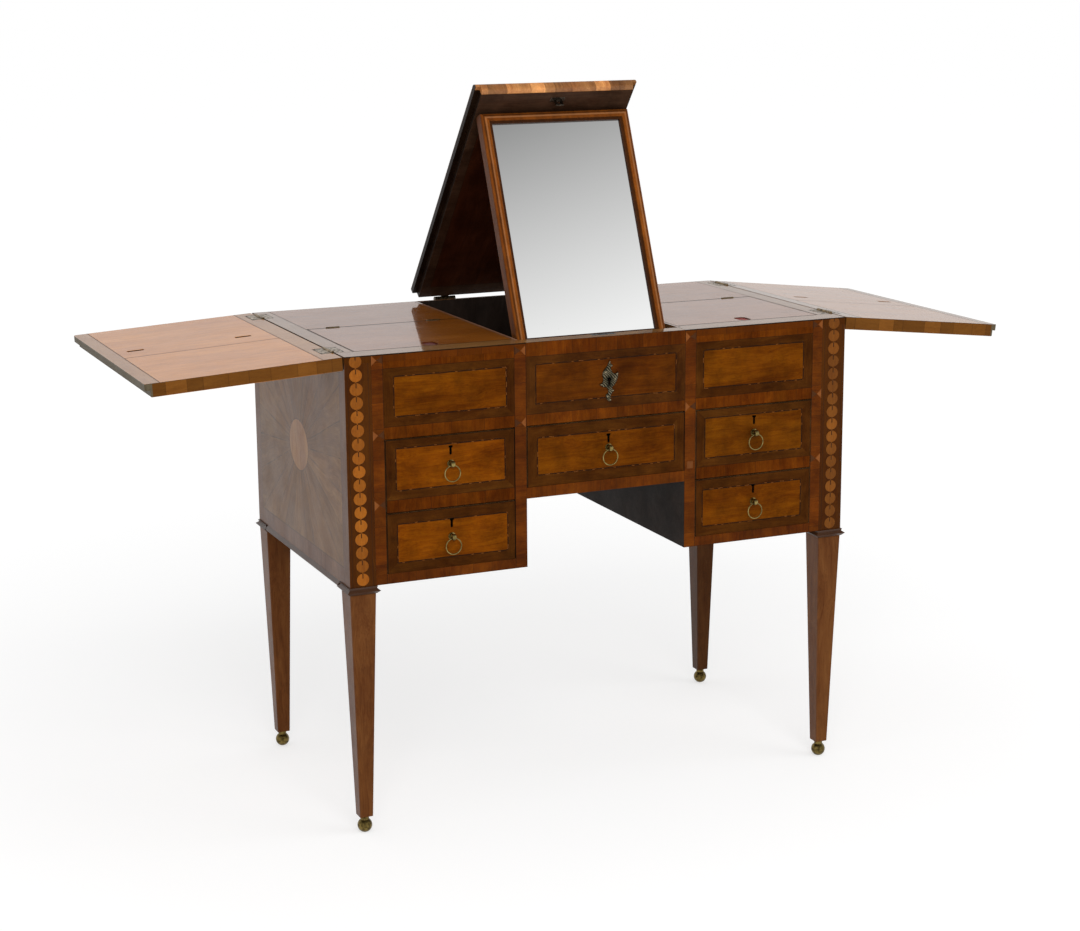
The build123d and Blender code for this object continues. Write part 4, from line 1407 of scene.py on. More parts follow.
# ---------------------------------------------------------------- sub-assemblies
class Workshop:
    """What every sub-assembly is built with: effects, patterns and the materials that they share."""

    def __init__(self) -> None:
        """Build the shared effects, patterns and materials."""
        self.effects = Effects()
        self.patterns = Patterns()
        (self.brass, self.plate, self.bronze, self.dark, self.steel, self.inlay, self.arrow, left_penny,
         right_penny, self.screw) = (finish.build(self.effects) for finish in (
             OldMetal("old_brass", (150, 132, 80), (70, 60, 34)),
             OldMetal("dull_plate_brass", (146, 124, 92), (92, 78, 58), 0.8),
             OldMetal("dark_gilt_bronze", (172, 156, 126), (84, 82, 58), 0.6, 0.0002, True),
             OldMetal("brown_bronze", (96, 84, 62), (34, 28, 22), 1.0, 0.0001),
             OldMetal("bare_steel", (176, 176, 172), (84, 78, 70), 0.8),
             InlayWood("string_inlay", (34, 16, 5), (118, 68, 26)),
             InlayWood("arrow_inlay", (26, 14, 6), (130, 74, 32)),
             InlayWood("left_penny_inlay", (32, 16, 5), (152, 86, 22)),
             InlayWood("right_penny_inlay", (32, 16, 5), (128, 74, 22)),
             OldMetal("screw_brass", (112, 96, 70), (58, 50, 38), 0.9, chased=True)))
        self.penny = {"left": left_penny, "right": right_penny}

    def paint(self, finish: Union[Finish, bpy.types.Material], *nodes: str) -> None:
        """Assign a finish to every material slot of some CAD nodes.

        Args:
            finish: The finish, or a material that is built already.
            *nodes: Names of the nodes.
        """
        material = finish.build(self.effects) if isinstance(finish, Finish) else finish
        for node in nodes:
            shown = bpy.data.objects[node]
            if not shown.material_slots:
                shown.data.materials.append(material)
            for slot in shown.material_slots:
                slot.material = material
            LOG.info("%s is finished in %s", node, material.name)

    def drive(self, name: str, body: str, rows: Sequence[float], seed: int,
              turn: Optional[Turn] = None) -> None:
        """Drive three screws into each leaf of the top's hinges.

        Args:
            name: Name of the piece.
            body: Body that it rides on.
            rows: Places of the rows of screws along X, in millimetres.
            seed: Sets how the slots are turned.
            turn: How the hinge leaf is turned from flat.
        """
        places = [(x * MM, (y + offset) * MM, SIZES.screw_level * MM)
                  for x in rows for y in SIZES.hinge_rows for offset in (-15, 0, 15)]
        screws = self.patterns.screws.run(name, places, Radius=0.0024, Seed=seed, Metal=self.screw)
        if turn:
            screws.data.transform(turn.matrix())
            screws.data.update()
        dressed(screws, self.screw, body)


@dataclass
class Assembly:
    """A part of the table that is dressed on its own.

    Attributes:
        shop: What it is dressed with.
    """

    shop: Workshop

    def build(self) -> None:
        """Dress the part."""
        raise NotImplementedError


def mirrored(side: int, *outlines: Edges) -> list[Edges]:
    """Outlines that are given for the right-hand side, as they lie on a side."""
    return [(*on_side(side, x0, x1), z0, z1) for x0, x1, z0, z1 in outlines]


@dataclass(frozen=True)
class FrontPanel:
    """A panelled front: its board, field, dark border and crossband, in millimetres.

    Attributes:
        name: Name that its stringing is called after.
        body: Body that it rides on.
        board: Left, right, lower and upper edge of the board.
        field: The same edges of its field.
        dark: The same edges of the dark border round the field.
        seed: Number that sets it apart.
        tone: Brightness of the field.
        wood: Wood of the field.
        keyhole: Place of its keyhole, or None.
    """

    name: str
    body: str
    board: Edges
    field: Edges
    dark: Edges
    seed: float
    tone: float = 1.0
    wood: Wood = FIELD
    keyhole: Optional[tuple[float, float]] = None

    def zones(self) -> tuple[Zone, ...]:
        """The sheets of veneer on this front.

        Returns:
            The sheets in the order they are laid.
        """
        return (Zone(*self.board, CROSSBAND, Grain.UPRIGHT, 46.0),
                Zone(*self.dark, DARK_BORDER, Grain.FRAMED),
                Zone(*self.field, self.wood, tone=self.tone))

    def lays(self) -> tuple[Lay, ...]:
        """The show face, with painted shade along its head and left side and in the keyhole.

        Returns:
            The painted shade inside the keyhole, and the veneers of the face.
        """
        x0, x1, z0, z1 = self.board
        # Painted shade in the gaps at the head and the left side, and inside the keyhole.
        dirt_and_shade = (Zone(x0, x1, z1 - 0.9, z1 + 3, PAINTED_SHADE, joint=False),
                Zone(x0, x0 + 0.9, z0, z1, PAINTED_SHADE, joint=False))
        x, z = self.keyhole
        keyhole_shade = Zone(x - 4.5, x + 4.5, z - 8.5, z + 8.5, PAINTED_SHADE)
        return (Lay(Face.FRONT, FRONT + 8.5, (keyhole_shade,), reach=8.3),
                Lay(Face.FRONT, FRONT, self.zones() + dirt_and_shade))

    def string(self, shop: Workshop) -> None:
        """Lay the wavy stringing round the field.

        Args:
            shop: What it is made with.
        """
        x0, x1, z0, z1 = self.field
        piece = shop.patterns.dashes.run(
            f"{self.name}_stringing", [((x0 + x1) / 2 * MM, (FRONT - 0.05) * MM, (z0 + z1) / 2 * MM)],
            Width=(x1 - x0) * MM, Height=(z1 - z0) * MM, Dash=0.0042, Wave=0.027, Swing=0.0012, Line=0.0009,
            Light=0.24, Seed=int(self.seed * 10) + 1, Wood=shop.inlay)
        dressed(piece, shop.inlay, self.body)


@dataclass
class Case(Assembly):
    """The carcass: legs, sides, friezes, rails, top boards and their inlays, in millimetres.

    Attributes:
        pennies: Number of pennies in a column.
        penny_x: Distance of a column from the middle plane.
        penny_top: Level of the highest penny.
        penny_pitch: From one penny to the next.
        penny_radius: Radius of a penny.
        penny_cut: Level above which the highest penny is cut off.
        leans: Sideways lean of the left and the right column for each unit of height.
        arrow_levels: Levels of the arrows on the stiles, then of those on the partitions.
    """

    pennies: int = 17
    penny_x: float = 421.5
    penny_top: float = 771.5
    penny_pitch: float = 21.6
    penny_radius: float = 10.4
    penny_cut: float = 778.6
    leans: tuple[float, float] = (0.011, 0.0)
    arrow_levels: tuple[tuple[float, ...], ...] = ((771.0, 653.0, 542.0), (768.0, 652.0))

    def build(self) -> None:
        """Dress the whole carcass."""
        self.friezes()
        self.bands()
        self.legs_and_sides()
        self.top_boards()
        self.lids()
        self.inside()
        self.penny_columns()
        self.arrows()
        self.shop.paint(self.shop.plate, "case_top_hinges")
        self.shop.paint(self.shop.dark, "case_flap_hinges")
        self.shop.drive("case_hinge_screws", "case", (-434.5, 434.5), 3)

    def friezes(self) -> None:
        """Dress the three friezes under the top."""
        outlines = ((161.5, 381, 645, 780), (176, 363, 681, 743), (161.5, 381, 665, 757))
        pair = [FrontPanel(f"{name}_frieze", "case", *mirrored(side, *outlines), seed, tone)
                for name, side, seed, tone in (("right", 1, 1.3, 0.86), ("left", -1, 1.7, 0.88))]
        face = Lay(Face.FRONT, FRONT, pair[0].zones() + pair[1].zones())
        self.shop.paint(PanelledVeneer("side_frieze_veneer", (face,), seed=1.3), "side_friezes")
        centre = FrontPanel("centre_frieze", "case", (-141.5, 141.5, 645, 781), (-124, 124, 681, 743),
                            (-141.5, 141.5, 664, 757), 2.4, 1.0, REDDISH_FIELD)
        top = Lay(Face.TOP, SIZES.case_top, (Zone(-142, 142, FRONT, SIZES.well_rail_back, TOP_BAND),), 0.66)
        face = Lay(Face.FRONT, FRONT, centre.zones())
        # Its other faces, in the kneehole and the well, carry painted shade.
        self.shop.paint(PanelledVeneer("centre_frieze_veneer", (face, top), HOLLOW_SHADE, gloss=TOP_GLOSS,
                                       seed=2.4), "centre_frieze")
        for frieze in (centre, *pair):
            frieze.string(self.shop)

    def bands(self) -> None:
        """Dress the boards whose front edges are crossbanded, left and right."""
        well, bay, stile, bottom = SIZES.well_half, SIZES.bay_inner, SIZES.stile_inner, SIZES.case_bottom
        # The partitions and the kneehole rails carry painted shade on their other faces, which face the
        # kneehole.
        for node, name, edges, grain, block, rest, seed in (
                ("front_stiles", "stile_veneer", (stile, SIZES.post_inner, bottom, 768),
                 Grain.LEVEL, 52.0, CARCASS, 0.6),
                ("partitions", "partition_veneer", (well, bay, bottom, 768), Grain.LEVEL, 58.0, HOLLOW_SHADE, 3.1),
                ("kneehole_rails", "apron_veneer", (-1, well, 526, 546), Grain.UPRIGHT, 48.0, HOLLOW_SHADE, 3.7),
                ("bottom_boards", "bottom_rail_veneer", (bay, stile, bottom, 431),
                 Grain.UPRIGHT, 44.0, CARCASS, 4.3)):
            strips = paired(Zone(*edges, CROSSBAND, grain, block, joint=edges[0] >= 0))
            self.shop.paint(PanelledVeneer(name, (Lay(Face.FRONT, FRONT, strips),), rest, seed=seed,
                                           gloss=BAND_GLOSS), node)

    def legs_and_sides(self) -> None:
        """Dress the legs, collars, mouldings, feet, sides and back."""
        paint = self.shop.paint
        paint(SidePanelVeneer("front_leg_veneer", True), "front_legs")
        # The right rear leg gets painted shade.
        paint(SidePanelVeneer("rear_leg_veneer", True, darker=0.42), "rear_legs")
        paint(SidePanelVeneer("side_veneer"), "left_side_panel", "right_side_panel")
        paint(PlainWood("collar_wood", MOULDING, 0, MOULDING_GLOSS), "leg_collars")
        paint(PlainWood("moulding_wood", MOULDING, 1, MOULDING_GLOSS), "side_mouldings")
        paint(OldMetal("foot_brass", (122, 104, 58), (52, 42, 20), 1.0), "ball_feet")
        # The back wall of the well carries painted shade.
        well = Zone(-SIZES.well_half, SIZES.well_half, 500, 781, HOLLOW_SHADE, Grain.UPRIGHT)
        paint(PanelledVeneer("back_board_wood", (Lay(Face.FRONT, 236, (well,)),), BACK_BOARD,
                             rest_grain=Grain.UPRIGHT, gloss=DULL_GLOSS, seed=5.1), "back_panels")

    def top_boards(self) -> None:
        """Dress the top boards round the lids and the well."""
        well, outer, back = SIZES.well_half, SIZES.half_width, SIZES.half_depth
        top = paired(Zone(well, outer, FRONT, back, TOP_BAND, Grain.UPRIGHT),
                     Zone(well, 414, 33, back, TOP_FIELD),
                     Zone(414, outer, FRONT, back, TOP_BAND, Grain.UPRIGHT),
                     Zone(well, outer, FRONT, -203, TOP_BAND),
                     # The strip beside the well carries a painted reflection.
                     Zone(well, 147, SIZES.well_rail_back, 236, TOP_STRIP_SHEEN, Grain.UPRIGHT),
                     # Painted shade in the gap round each lid and round the hinge plates.
                     Zone(146.9, 412.6, -203.1, 33.4, PAINTED_SHADE, joint=False),
                     *(Zone(426.0, outer, y - 23.4, y + 23.4, PAINTED_SHADE, joint=False) for y in SIZES.hinge_rows))
        front = paired(Zone(SIZES.bay_inner, SIZES.stile_inner, 767, 778.6, CROSSBAND, Grain.UPRIGHT, 46.0),
                       Zone(well, SIZES.bay_inner, 767, 778.6, CROSSBAND),
                       Zone(SIZES.stile_inner, SIZES.post_inner, 767, 778.6, CROSSBAND),
                       Zone(SIZES.post_inner, outer, 767, 778.6, POST_STRIP, Grain.UPRIGHT),
                       # Painted shade in a dark line under the top's front arris.
                       Zone(well, outer, 778.6, 779.6, PAINTED_SHADE))
        lays = (Lay(Face.TOP, SIZES.case_top, top, 0.74, 1.4, 1.6), Lay(Face.FRONT, FRONT, front))
        self.shop.paint(PanelledVeneer("top_board_veneer", lays, SIDE_VENEER, gloss=TOP_GLOSS, seed=1.3,
                                       figure=0.6, streak=0.4, smoke=0), "top_boards")

    def lids(self) -> None:
        """Dress the lids and their tabs."""
        for (name, side), red in zip(SIDES, ((84, 24, 19), (152, 44, 36))):
            sheet = Zone(147, 412.5, -203, 32, TOP_FIELD).on(side)
            # The floor of the tab's recess carries painted shade.
            floor = Zone(268.6, 290.9, -199, -168, RECESS_SHADE, joint=False).on(side)
            lays = (Lay(Face.TOP, SIZES.case_top, (sheet,), 0.76, 2.4, 5.0),
                    Lay(Face.TOP, SIZES.case_top - 4, (floor,), reach=3.8))
            self.shop.paint(PanelledVeneer(f"{name}_lid_veneer", lays, gloss=TOP_GLOSS, seed=6.0 + side,
                                           figure=0.6, streak=0.4, smoke=0), f"{name}_lid")
            self.shop.paint(Leather(f"{name}_tab_leather", red), f"{name}_lid_tab")

    def inside(self) -> None:
        """Dress the boards that are seen only when something is open."""
        self.shop.paint(PlainWood("carcass_wood", CARCASS, 0, DULL_GLOSS, 7.7), "dust_boards",
                        "compartment_trays")
        self.shop.paint(PlainWood("well_wood", WELL, 0, DULL_GLOSS, 8.8), "well_linings")
        self.shop.paint(self.shop.steel, "well_lock")

    def penny_columns(self) -> None:
        """Lay the column of pennies on each post, cut off at the top and leaning with the post's strip."""
        for (name, side), lean in zip(SIDES, self.leans):
            wood = self.shop.penny[name]
            top = (side * self.penny_x * MM, (FRONT - 0.05) * MM, self.penny_top * MM)
            column = self.shop.patterns.pennies.run(
                f"{name}_penny_column", [top], Count=self.pennies, Pitch=self.penny_pitch * MM,
                Radius=self.penny_radius * MM, Rise=0.0004, Seed=11 + side, Wood=wood)
            for vertex in column.data.vertices:
                vertex.co.z = min(vertex.co.z, self.penny_cut * MM)
                vertex.co.x -= lean * (vertex.co.z - 0.44)
            dressed(column, wood, "case")

    def arrows(self) -> None:
        """Lay the small triangles and the lozenge on the stiles and partitions."""
        marks = []
        for side in (-1, 1):
            for level in self.arrow_levels[0]:
                marks += self.arrow(side * 399.5, level, -side * 8.5, -side * 18.0)
            for level in self.arrow_levels[1]:
                marks += self.arrow(side * 142.5, level, side * 8.0, side * 18.5)
        lozenge = ((146, 548), (157, 548), (157, 560), (146, 560))
        marks.append((lozenge, FRONT + 0.1, FRONT - 0.15, 0.6))
        dressed(prisms("stile_arrows", marks), self.shop.arrow, "case")

    @staticmethod
    def arrow(x: float, z: float, point: float, far: float) -> list:
        """A light triangle whose point meets the point of a dark one, a little proud of the front.

        Args:
            x: Place of the light one's base.
            z: Level of the points.
            point: From the base to the points.
            far: From the base to the dark one's base.

        Returns:
            The two outlines for prisms().
        """
        light = ((x, z - 8), (x + point, z), (x, z + 8))
        dark = ((x + far, z - 6), (x + point, z), (x + far, z + 7))
        return [(light, FRONT + 0.1, FRONT - 0.16, 0.9), (dark, FRONT + 0.1, FRONT - 0.14, 0.24)]


def gap(point: Vector, loop: Sequence[Vector]) -> float:
    """Distance from a point to the nearest side of a closed loop.

    Args:
        point: The point.
        loop: Corners of the loop.

    Returns:
        The distance.
    """
    nearest = math.inf
    for index, corner in enumerate(loop):
        side = corner - loop[index - 1]
        share = max(0.0, min(1.0, (point - loop[index - 1]).dot(side) / side.length_squared))
        nearest = min(nearest, (point - loop[index - 1] - share * side).length)
    return nearest


def encloses(loop: Sequence[Vector], point: Vector) -> bool:
    """Whether a point lies inside a closed loop.

    Args:
        loop: Corners of the loop.
        point: The point.

    Returns:
        Whether it does.
    """
    inside = False
    for index, corner in enumerate(loop):
        other = loop[index - 1]
        if (corner.y > point.y) != (other.y > point.y):
            across = (other.x - corner.x) * (point.y - corner.y) / (other.y - corner.y) + corner.x
            inside ^= point.x < across
    return inside


@dataclass
class Escutcheon(Assembly):
    """The cast plate round the keyhole of the flap's lock: a chased scroll of leaves in relief.

    Its lengths are in millimetres, from the plate's middle.

    Attributes:
        centre: Place of its middle.
        edge: Thickness at the outline.
        swell: How far the leaves stand above the edge.
        pitch: From one point of the relief to the next.
        steps: Points on each curve of the outline.
    """

    SCROLL = ((1.5, 35), (2.5, 30), (7, 26), (4.2, 22), (5.5, 16), (10.6, 11.3), (16.5, 15), (16, 3),
              (9.5, -8), (6.5, -12), (10, -17), (4.5, -23), (3.5, -34), (-3, -30), (-5, -22), (-0.5, -17),
              (-4, -10), (-10, -9), (-17, -4), (-11.5, -2), (-9.5, 4), (-10.5, 14), (-5, 22), (-1, 28))
    BEADS = ((1.6, 31.5, 1.7), (14.6, 11.5, 2.0), (-13.6, -4.6, 1.8), (-6.2, 15.5, 2.1), (2.2, -30.5, 1.7),
             (-2.8, -24.5, 1.6), (5.2, 24.8, 1.5), (7.2, -15.5, 1.7), (10.8, 3.0, 1.6))

    centre: tuple[float, float, float] = (3.0, FRONT, 707.0)
    edge: float = 0.7
    swell: float = 2.0
    pitch: float = 0.85
    steps: int = 8

    def __post_init__(self) -> None:
        """Draw the plate's outline and keyhole."""
        self.outline = [self.on_scroll(first, step / self.steps)
                        for first in range(0, len(self.SCROLL), 2) for step in range(self.steps)]
        angles = [math.radians(-64.3 + 308.6 * step / 14) for step in range(15)]
        self.keyhole = [Vector((3 * math.cos(angle), 3 + 3 * math.sin(angle))) for angle in angles]
        self.keyhole += [Vector((-1.3, -7)), Vector((1.3, -7))]

    def on_scroll(self, first: int, share: float) -> Vector:
        """Point at a share of the way along the curve through three points of the scroll.

        Args:
            first: Which of the scroll's points the curve starts at.
            share: Share of the way, from 0 to 1.

        Returns:
            The point.
        """
        start, middle, end = (Vector(self.SCROLL[(first + place) % len(self.SCROLL)]) for place in range(3))
        return ((1 - share) * (1 - 2 * share) * start + 4 * share * (1 - share) * middle
                + share * (2 * share - 1) * end)

    def on_plate(self, point: Vector) -> bool:
        """Whether a point lies on the plate, outside its keyhole."""
        return encloses(self.outline, point) and not encloses(self.keyhole, point)

    @staticmethod
    def vein(point: Vector) -> float:
        """Rise and fall of the chased veins at a point, from -1 to 1."""
        return math.sin(1.5 * (point.y + 0.9 * point.x) + 1.4 * math.sin(0.45 * point.y) + 0.6)

    def rubbed(self, point: Vector) -> float:
        """How bright the metal is rubbed at a point, from 0 to 1.

        Args:
            point: Place on the plate.

        Returns:
            The brightness.
        """
        nearest = min((point - Vector((x, y))).length / radius for x, y, radius in self.BEADS)
        away = min(1.0, gap(point, self.keyhole) / 6)
        return max(0.0, min(1.0, max(1.3 - nearest, 0.62 * away * self.vein(point))))

    def height(self, point: Vector) -> float:
        """Height of the relief at a point.

        Args:
            point: Place on the plate.

        Returns:
            The height.
        """
        swell = 1 - math.exp(-gap(point, self.outline) / 1.7)
        rim = math.exp(-((gap(point, self.keyhole) - 0.9) / 0.55) ** 2)
        raised = self.edge + self.swell * swell * (1 + 0.3 * self.vein(point)) + 0.5 * rim
        for x, y, radius in self.BEADS:
            apart = (point - Vector((x, y))).length
            if apart < radius:
                raised = max(raised, 1.7 + math.sqrt(radius ** 2 - apart ** 2))
        return min(raised, 3.9)

    def build(self) -> None:
        """Model the plate and lay it on the frieze in place of the plain one."""
        loops = (self.outline, self.keyhole)
        points = [point for loop in loops for point in loop]
        sides = []
        for loop in loops:
            first = len(sides)
            sides += [(first + index, first + (index + 1) % len(loop)) for index in range(len(loop))]
        for column in range(int(36 / self.pitch)):
            for row in range(int(72 / self.pitch)):
                point = Vector((-18 + (column + 0.5 * (row % 2)) * self.pitch, -36 + row * self.pitch))
                if self.on_plate(point) and min(gap(point, loop) for loop in loops) > 0.4 * self.pitch:
                    points.append(point)
        places, _, faces, _, _, _ = delaunay_2d_cdt(points, sides, [], 0, 1e-5)
        faces = [face for face in faces
                 if self.on_plate(sum((places[index] for index in face), Vector((0, 0))) / 3)]
        self.cast(places, faces, sides)

    def cast(self, places: Sequence[Vector], faces: Sequence[Sequence[int]],
             sides: Sequence[tuple[int, int]]) -> None:
        """Stand the flat triangles up as a closed casting and finish it.

        Args:
            places: Points of the plate, its loops first.
            faces: Triangles between them.
            sides: Pairs of points along the loops.
        """
        x, y, z = self.centre
        shape = bmesh.new()
        tone = shape.verts.layers.float.new("tone")
        front = [shape.verts.new(((x + place.x) * MM, (y - self.height(place)) * MM, (z + place.y) * MM))
                 for place in places]
        back = [shape.verts.new(((x + place.x) * MM, y * MM, (z + place.y) * MM)) for place in places]
        for vertex, place in zip(front, places):
            vertex[tone] = self.rubbed(place)
        for face in faces:
            shape.faces.new([front[index] for index in face])
            shape.faces.new([back[index] for index in reversed(face)])
        for a, b in sides:
            shape.faces.new((front[a], front[b], back[b], back[a]))
        loose = [vertex for vertex in shape.verts if not vertex.link_faces]
        bmesh.ops.delete(shape, geom=loose, context="VERTS")
        piece = closed("chased_escutcheon", shape)
        piece.data.polygons.foreach_set("use_smooth", [True] * len(piece.data.polygons))
        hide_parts("escutcheon")
        dressed(piece, self.shop.bronze, "case")


@dataclass
class Drawers(Assembly):
    """The five drawers with their fields, stringing, pulls and rings.

    Attributes:
        bay_centre: Distance of the bays' middle from the middle plane, in millimetres.
    """

    ROWS = (("upper", ((162.7, 379.8, 528.1, 644.0), (179.5, 362, 563, 629), (162.7, 379.8, 548, 646)), 619.3,
             (("right", 1, 3.3, 0.82), ("left", -1, 3.9, 1.0))),
            ("lower", ((162.7, 379.8, 430.6, 526.3), (176, 362, 447, 508), (162.7, 379.8, 430, 528)), 501.6,
             (("right", 1, 4.4, 0.87), ("left", -1, 4.9, 0.99))))
    CENTRE = FrontPanel("centre_drawer_front", "centre_drawer", (-140.3, 140.3, 545.6, 644.0),
                        (-122, 122, 564.5, 624), (-140.3, 140.3, 545, 646), 5.6, 0.86, keyhole=(3.0, 613.1))

    bay_centre: float = 271.25

    def fronts(self) -> list[FrontPanel]:
        """The five fronts.

        Returns:
            The panels from the upper row to the centre.
        """
        bays = [FrontPanel(f"{row}_{name}_drawer_front", f"{row}_{name}_drawer", *mirrored(side, *outlines),
                           seed, tone, keyhole=(side * self.bay_centre, keyhole))
                for row, outlines, keyhole, pair in self.ROWS for name, side, seed, tone in pair]
        return [*bays, self.CENTRE]

    def build(self) -> None:
        """Dress every drawer."""
        paint = self.shop.paint
        fronts = self.fronts()
        paint(PlainWood("drawer_box_wood", CARCASS, 1, DULL_GLOSS, 9.4),
              *(f"{front.body}_box" for front in fronts))
        for front in fronts:
            paint(PanelledVeneer(f"{front.body}_veneer", front.lays(), seed=front.seed), front.name)
            front.string(self.shop)
            paint(self.shop.brass, f"{front.body}_fittings", f"{front.body}_ring")


@dataclass
class Leaves(Assembly):
    """The two side leaves with their inner face, edges and hinge screws.

    Attributes:
        droops: How far the left and the right leaf droop when open, in degrees.
        tones: Brightness of their veneers.
        coats: Weight of the polish on them.
    """

    # The last sheets are painted shade in the gaps round the hinge plates.
    SHEETS = (Zone(444, 760, -245, 245, LEAF_BAND), Zone(476, 729, -245, 245, LEAF_FIELD),
              Zone(476, 729, -245, -20, LEAF_FIELD), Zone(729, 760, -245, 245, LEAF_BAND, Grain.UPRIGHT),
              *(Zone(444, 463.0, y - 23.4, y + 23.4, PAINTED_SHADE) for y in SIZES.hinge_rows))

    droops: tuple[float, float] = (3.1, 6.5)
    tones: tuple[float, float] = (1.0, 0.8)
    coats: tuple[float, float] = (0.64, 0.7)

    def build(self) -> None:
        """Dress both leaves."""
        for (name, side), droop, tone, coat in zip(SIDES, self.droops, self.tones, self.coats):
            turn = Turn("Y", side * droop, (side * SIZES.leaf_pin_x, 0.0, SIZES.leaf_pin_z))
            zones = tuple(replace(sheet.on(side), tone=tone) for sheet in self.SHEETS)
            plain = tuple(zone for zone in zones if zone.wood is not PAINTED_SHADE)
            # The end edge carries painted shade and grey sheen, and the walls of the leaf's hollows carry
            # painted shade.
            lays = (Lay(Face.SIDE, side * 748.0, (Zone(-260, 260, 750, 790, LEAF_END_SHEEN_SHADE),), 0.1, reach=7.0),
                    Lay(Face.TOP, 769.5, (Zone(480, 722, -200, 200, PAINTED_SHADE).on(side),), reach=9.6),
                    Lay(Face.TOP, SIZES.leaf_bottom, plain, coat, 1.5, 2.6),
                    Lay(Face.TOP, SIZES.case_top, zones, coat, 1.5, 2.6))
            self.shop.paint(PanelledVeneer(f"{name}_leaf_veneer", lays, LEAF_EDGE, 33.0, Grain.UPRIGHT,
                                           TOP_GLOSS, (turn,), 7.0 + side * 0.4, 0.5, 0.3, 0.0),
                            f"{name}_leaf")
            self.shop.paint(self.shop.plate, f"{name}_leaf_hinges", f"{name}_lid_hinges")
            self.shop.drive(f"{name}_leaf_screws", f"{name}_leaf_body", (side * 454.5,), 5 + side, turn)


@dataclass
class Flap(Assembly):
    """The middle flap and the mirror that it carries.

    Attributes:
        raised: How the flap is turned from flat.
        opened: How the mirror is turned against the flap.
    """

    raised: Turn = Turn("X", -50.4, (0.0, 252.0, SIZES.case_top))
    opened: Turn = Turn("X", -62.1, (0.0, -188.5, 776.0))

    def build(self) -> None:
        """Dress the flap, the mirror and their hinges."""
        paint = self.shop.paint
        under = (Zone(-146, 146, -246, 246, FLAP_DARK), Zone(-120, 120, -190, 220, FLAP_PANEL, Grain.UPRIGHT))
        upper = (Zone(-146, 146, -246, 246, TOP_BAND, Grain.FRAMED),
                 Zone(-116, 116, -214, 216, TOP_FIELD, Grain.UPRIGHT, tone=1.15))
        # The nosing's wide spread of tones stands partly for painted highlights on its rounding.
        nose = (Zone(-144.4, 146, 779, 802, FLAP_NOSE_HIGHLIT, Grain.UPRIGHT, 30.0, spread=0.5),)
        lays = (Lay(Face.TOP, 780.3, under), Lay(Face.TOP, 801.3, upper, 0.6),
                Lay(Face.FRONT, -240.5, nose, 0.5, reach=3.8))
        paint(PanelledVeneer("flap_veneer", lays, FLAP_SIDE, rest_grain=Grain.UPRIGHT, gloss=FLAP_GLOSS,
                             turns=(self.raised,), seed=8.2), "flap")
        paint(self.shop.dark, "flap_hinges")
        paint(OldMetal("staple_steel", (92, 84, 74), (40, 33, 27), 0.9), "staple")
        turns = (self.opened, self.raised)
        paint(FramedWood("mirror_frame_wood", FRAME, (0.0, 6.5), (133.0, 197.5), 18.0, turns), "mirror_frame")
        paint(MirrorPlate("mirror_plate"), "mirror_glass")
        paint(PlainWood("mirror_back_wood", CARCASS, 1, DULL_GLOSS, 2.2, turns), "mirror_back")
        paint(self.shop.brass, "mirror_frame_hinges")


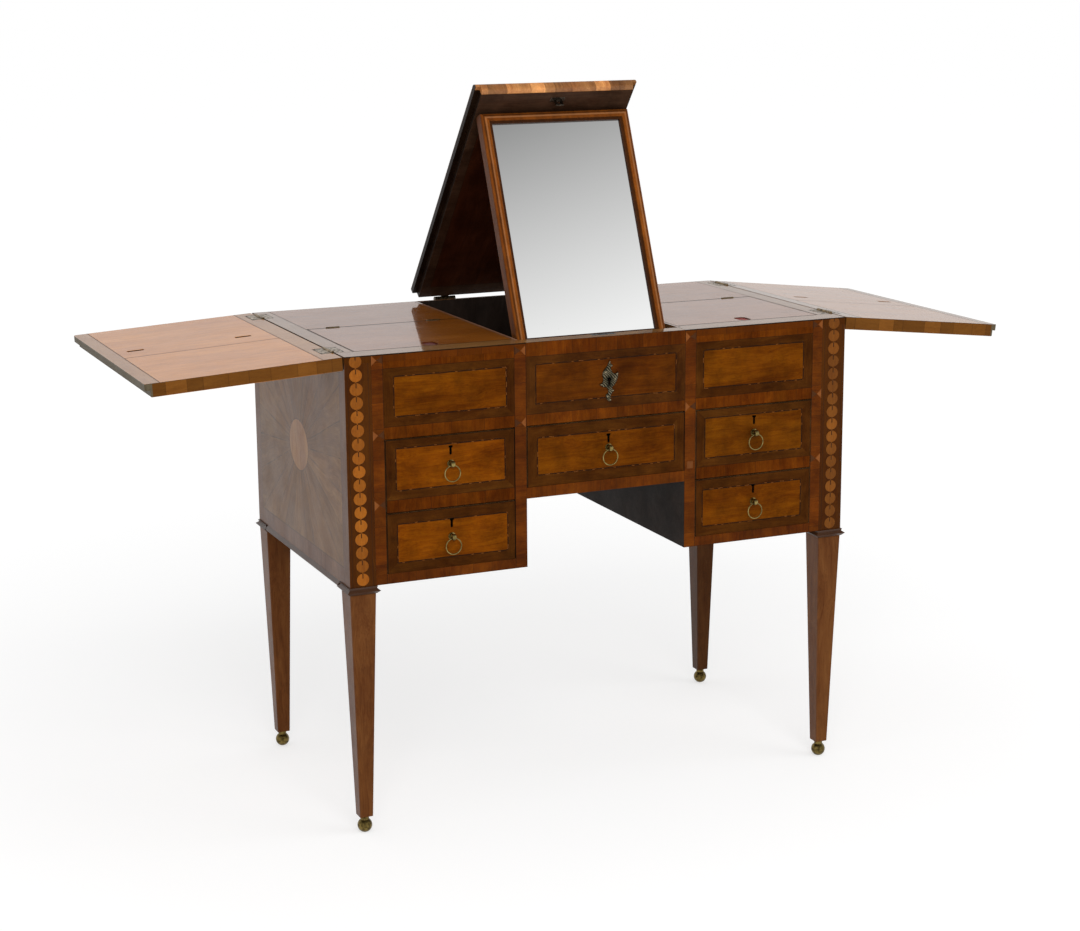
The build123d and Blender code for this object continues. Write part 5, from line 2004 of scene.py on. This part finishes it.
# ---------------------------------------------------------------- studio
@dataclass(frozen=True)
class Studio:
    """Camera, floor, lamps and surroundings.

    Attributes:
        eye: Place of the camera, in millimetres.
        azimuth: Direction of the camera round the table, in degrees.
        elevation: Height angle of the camera, in degrees.
        roll: Turn of the camera about its line of sight, in degrees.
        focal: Focal length in pixels of a frame as wide as `width`.
        width: Width of the frame, in pixels.
        sensor: Width of the camera's sensor, in millimetres.
        reach: Half the floor's side, in metres.
    """

    WHITE = (1, 1, 1, 1)

    eye: tuple[float, float, float] = (-1498.7, -3397.5, 1363.3)
    azimuth: float = -23.64
    elevation: float = 12.83
    roll: float = -0.41
    focal: float = 2207.1
    width: float = 1080.0
    sensor: float = 36.0
    reach: float = 400.0

    def build(self) -> None:
        """Set up everything that isn't part of the table."""
        self.camera()
        self.floor()
        self.surroundings()
        self.lamps()
        bpy.context.scene.view_settings.view_transform = "Standard"

    def camera(self) -> None:
        """Place the camera."""
        data = bpy.data.cameras.new("camera")
        data.sensor_fit = "HORIZONTAL"
        data.sensor_width = self.sensor
        data.lens = self.focal / self.width * self.sensor
        data.clip_end = 1000.0
        made = bpy.data.objects.new("camera", data)
        azimuth, elevation = math.radians(self.azimuth), math.radians(self.elevation)
        back = Vector((math.sin(azimuth) * math.cos(elevation), -math.cos(azimuth) * math.cos(elevation),
                       math.sin(elevation)))
        turn = (-back).to_track_quat("-Z", "Y").to_matrix().to_4x4()
        made.matrix_world = (Matrix.Translation(Vector(self.eye) * MM) @ turn
                             @ Matrix.Rotation(math.radians(self.roll), 4, "Z"))
        bpy.context.scene.collection.objects.link(made)
        bpy.context.scene.camera = made

    @staticmethod
    def rays(bench: Bench, *kinds: str) -> Signal:
        """1 for rays of any of some kinds.

        Args:
            bench: Bench of the tree.
            *kinds: Blender's names of the kinds.

        Returns:
            The mask.
        """
        path = bench.outputs(bench.node("ShaderNodeLightPath"))
        total = path[f"Is {kinds[0]} Ray"]
        for kind in kinds[1:]:
            total = bench.math("ADD", total, path[f"Is {kind} Ray"], clamp=True)
        return total

    @staticmethod
    def either(bench: Bench, factor: Value, first: Value, second: Value) -> Signal:
        """Mix two shaders."""
        return bench.fed("ShaderNodeMixShader", {0: factor, 1: first, 2: second})

    def floor(self) -> None:
        """Lay the pale floor."""
        mesh = bpy.data.meshes.new("floor")
        reach = self.reach
        mesh.from_pydata([(-reach, -reach, 0), (reach, -reach, 0), (reach, reach, 0), (-reach, reach, 0)], [],
                         [(0, 1, 2, 3)])
        made = mesh_object("floor", mesh)
        material, bench = new_material("pale_floor")
        plain = bench.fed("ShaderNodeBsdfDiffuse", {"Color": (0.9, 0.9, 0.9, 1)})
        away = bench.length(bench.coordinates())
        glow = bench.fed("ShaderNodeEmission", {"Color": self.WHITE,
                                                "Strength": bench.ramp(away, 0.8, 3.0, 1.26, 1.54)})
        seen = self.rays(bench, "Camera", "Glossy", "Transmission") * 0.45
        bench.fed("ShaderNodeOutputMaterial", {0: self.either(bench, seen, plain, glow)})
        mesh.materials.append(material)

    def surroundings(self) -> None:
        """White surroundings, greyer overhead where polished faces see them."""
        world = bpy.data.worlds.new("studio")
        bpy.context.scene.world = world
        world.use_nodes = True
        world.node_tree.nodes.clear()
        bench = Bench(world.node_tree)
        up = bench.split(bench.coordinates("Generated"))[2]
        overhead = bench.ramp(up, 0.514, 0.614, 0.93, 0.22)
        soft, white, shiny = (bench.fed("ShaderNodeBackground", {"Color": colour, "Strength": strength})
                              for colour, strength in ((self.WHITE, 0.62), (self.WHITE, 1.0),
                                                       (bench.join(overhead, overhead, overhead), 1.0)))
        plain = self.either(bench, self.rays(bench, "Camera"), soft, white)
        shown = self.either(bench, self.rays(bench, "Glossy", "Transmission"), plain, shiny)
        bench.fed("ShaderNodeOutputWorld", {0: shown})

    @staticmethod
    def lamps() -> None:
        """Hang a large soft lamp on each side of the camera."""
        for name, place, power in (("key", (-1.2, -4.2, 3.6), 120.0), ("fill", (3.6, -2.6, 2.4), 45.0)):
            data = bpy.data.lights.new(name, "AREA")
            data.shape = "SQUARE"
            data.size = 3.0
            data.energy = power
            made = bpy.data.objects.new(name, data)
            made.location = place
            made.rotation_mode = "QUATERNION"
            made.rotation_quaternion = (Vector((0, 0, 0.6)) - Vector(place)).to_track_quat("-Z", "Y")
            made.visible_glossy = False
            bpy.context.scene.collection.objects.link(made)


def corners(box: tuple[Vector, Vector]) -> list[list[float]]:
    """A box's two corners as plain lists."""
    return [list(corner) for corner in box]


def main() -> None:
    """Build the looks of the dressing table round its frame."""
    logging.basicConfig(level=logging.INFO, format="%(message)s")
    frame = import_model()
    Studio().build()
    shop = Workshop()
    for assembly in (Case(shop), Escutcheon(shop), Drawers(shop), Leaves(shop), Flap(shop)):
        assembly.build()


if __name__ == "__main__":
    main()
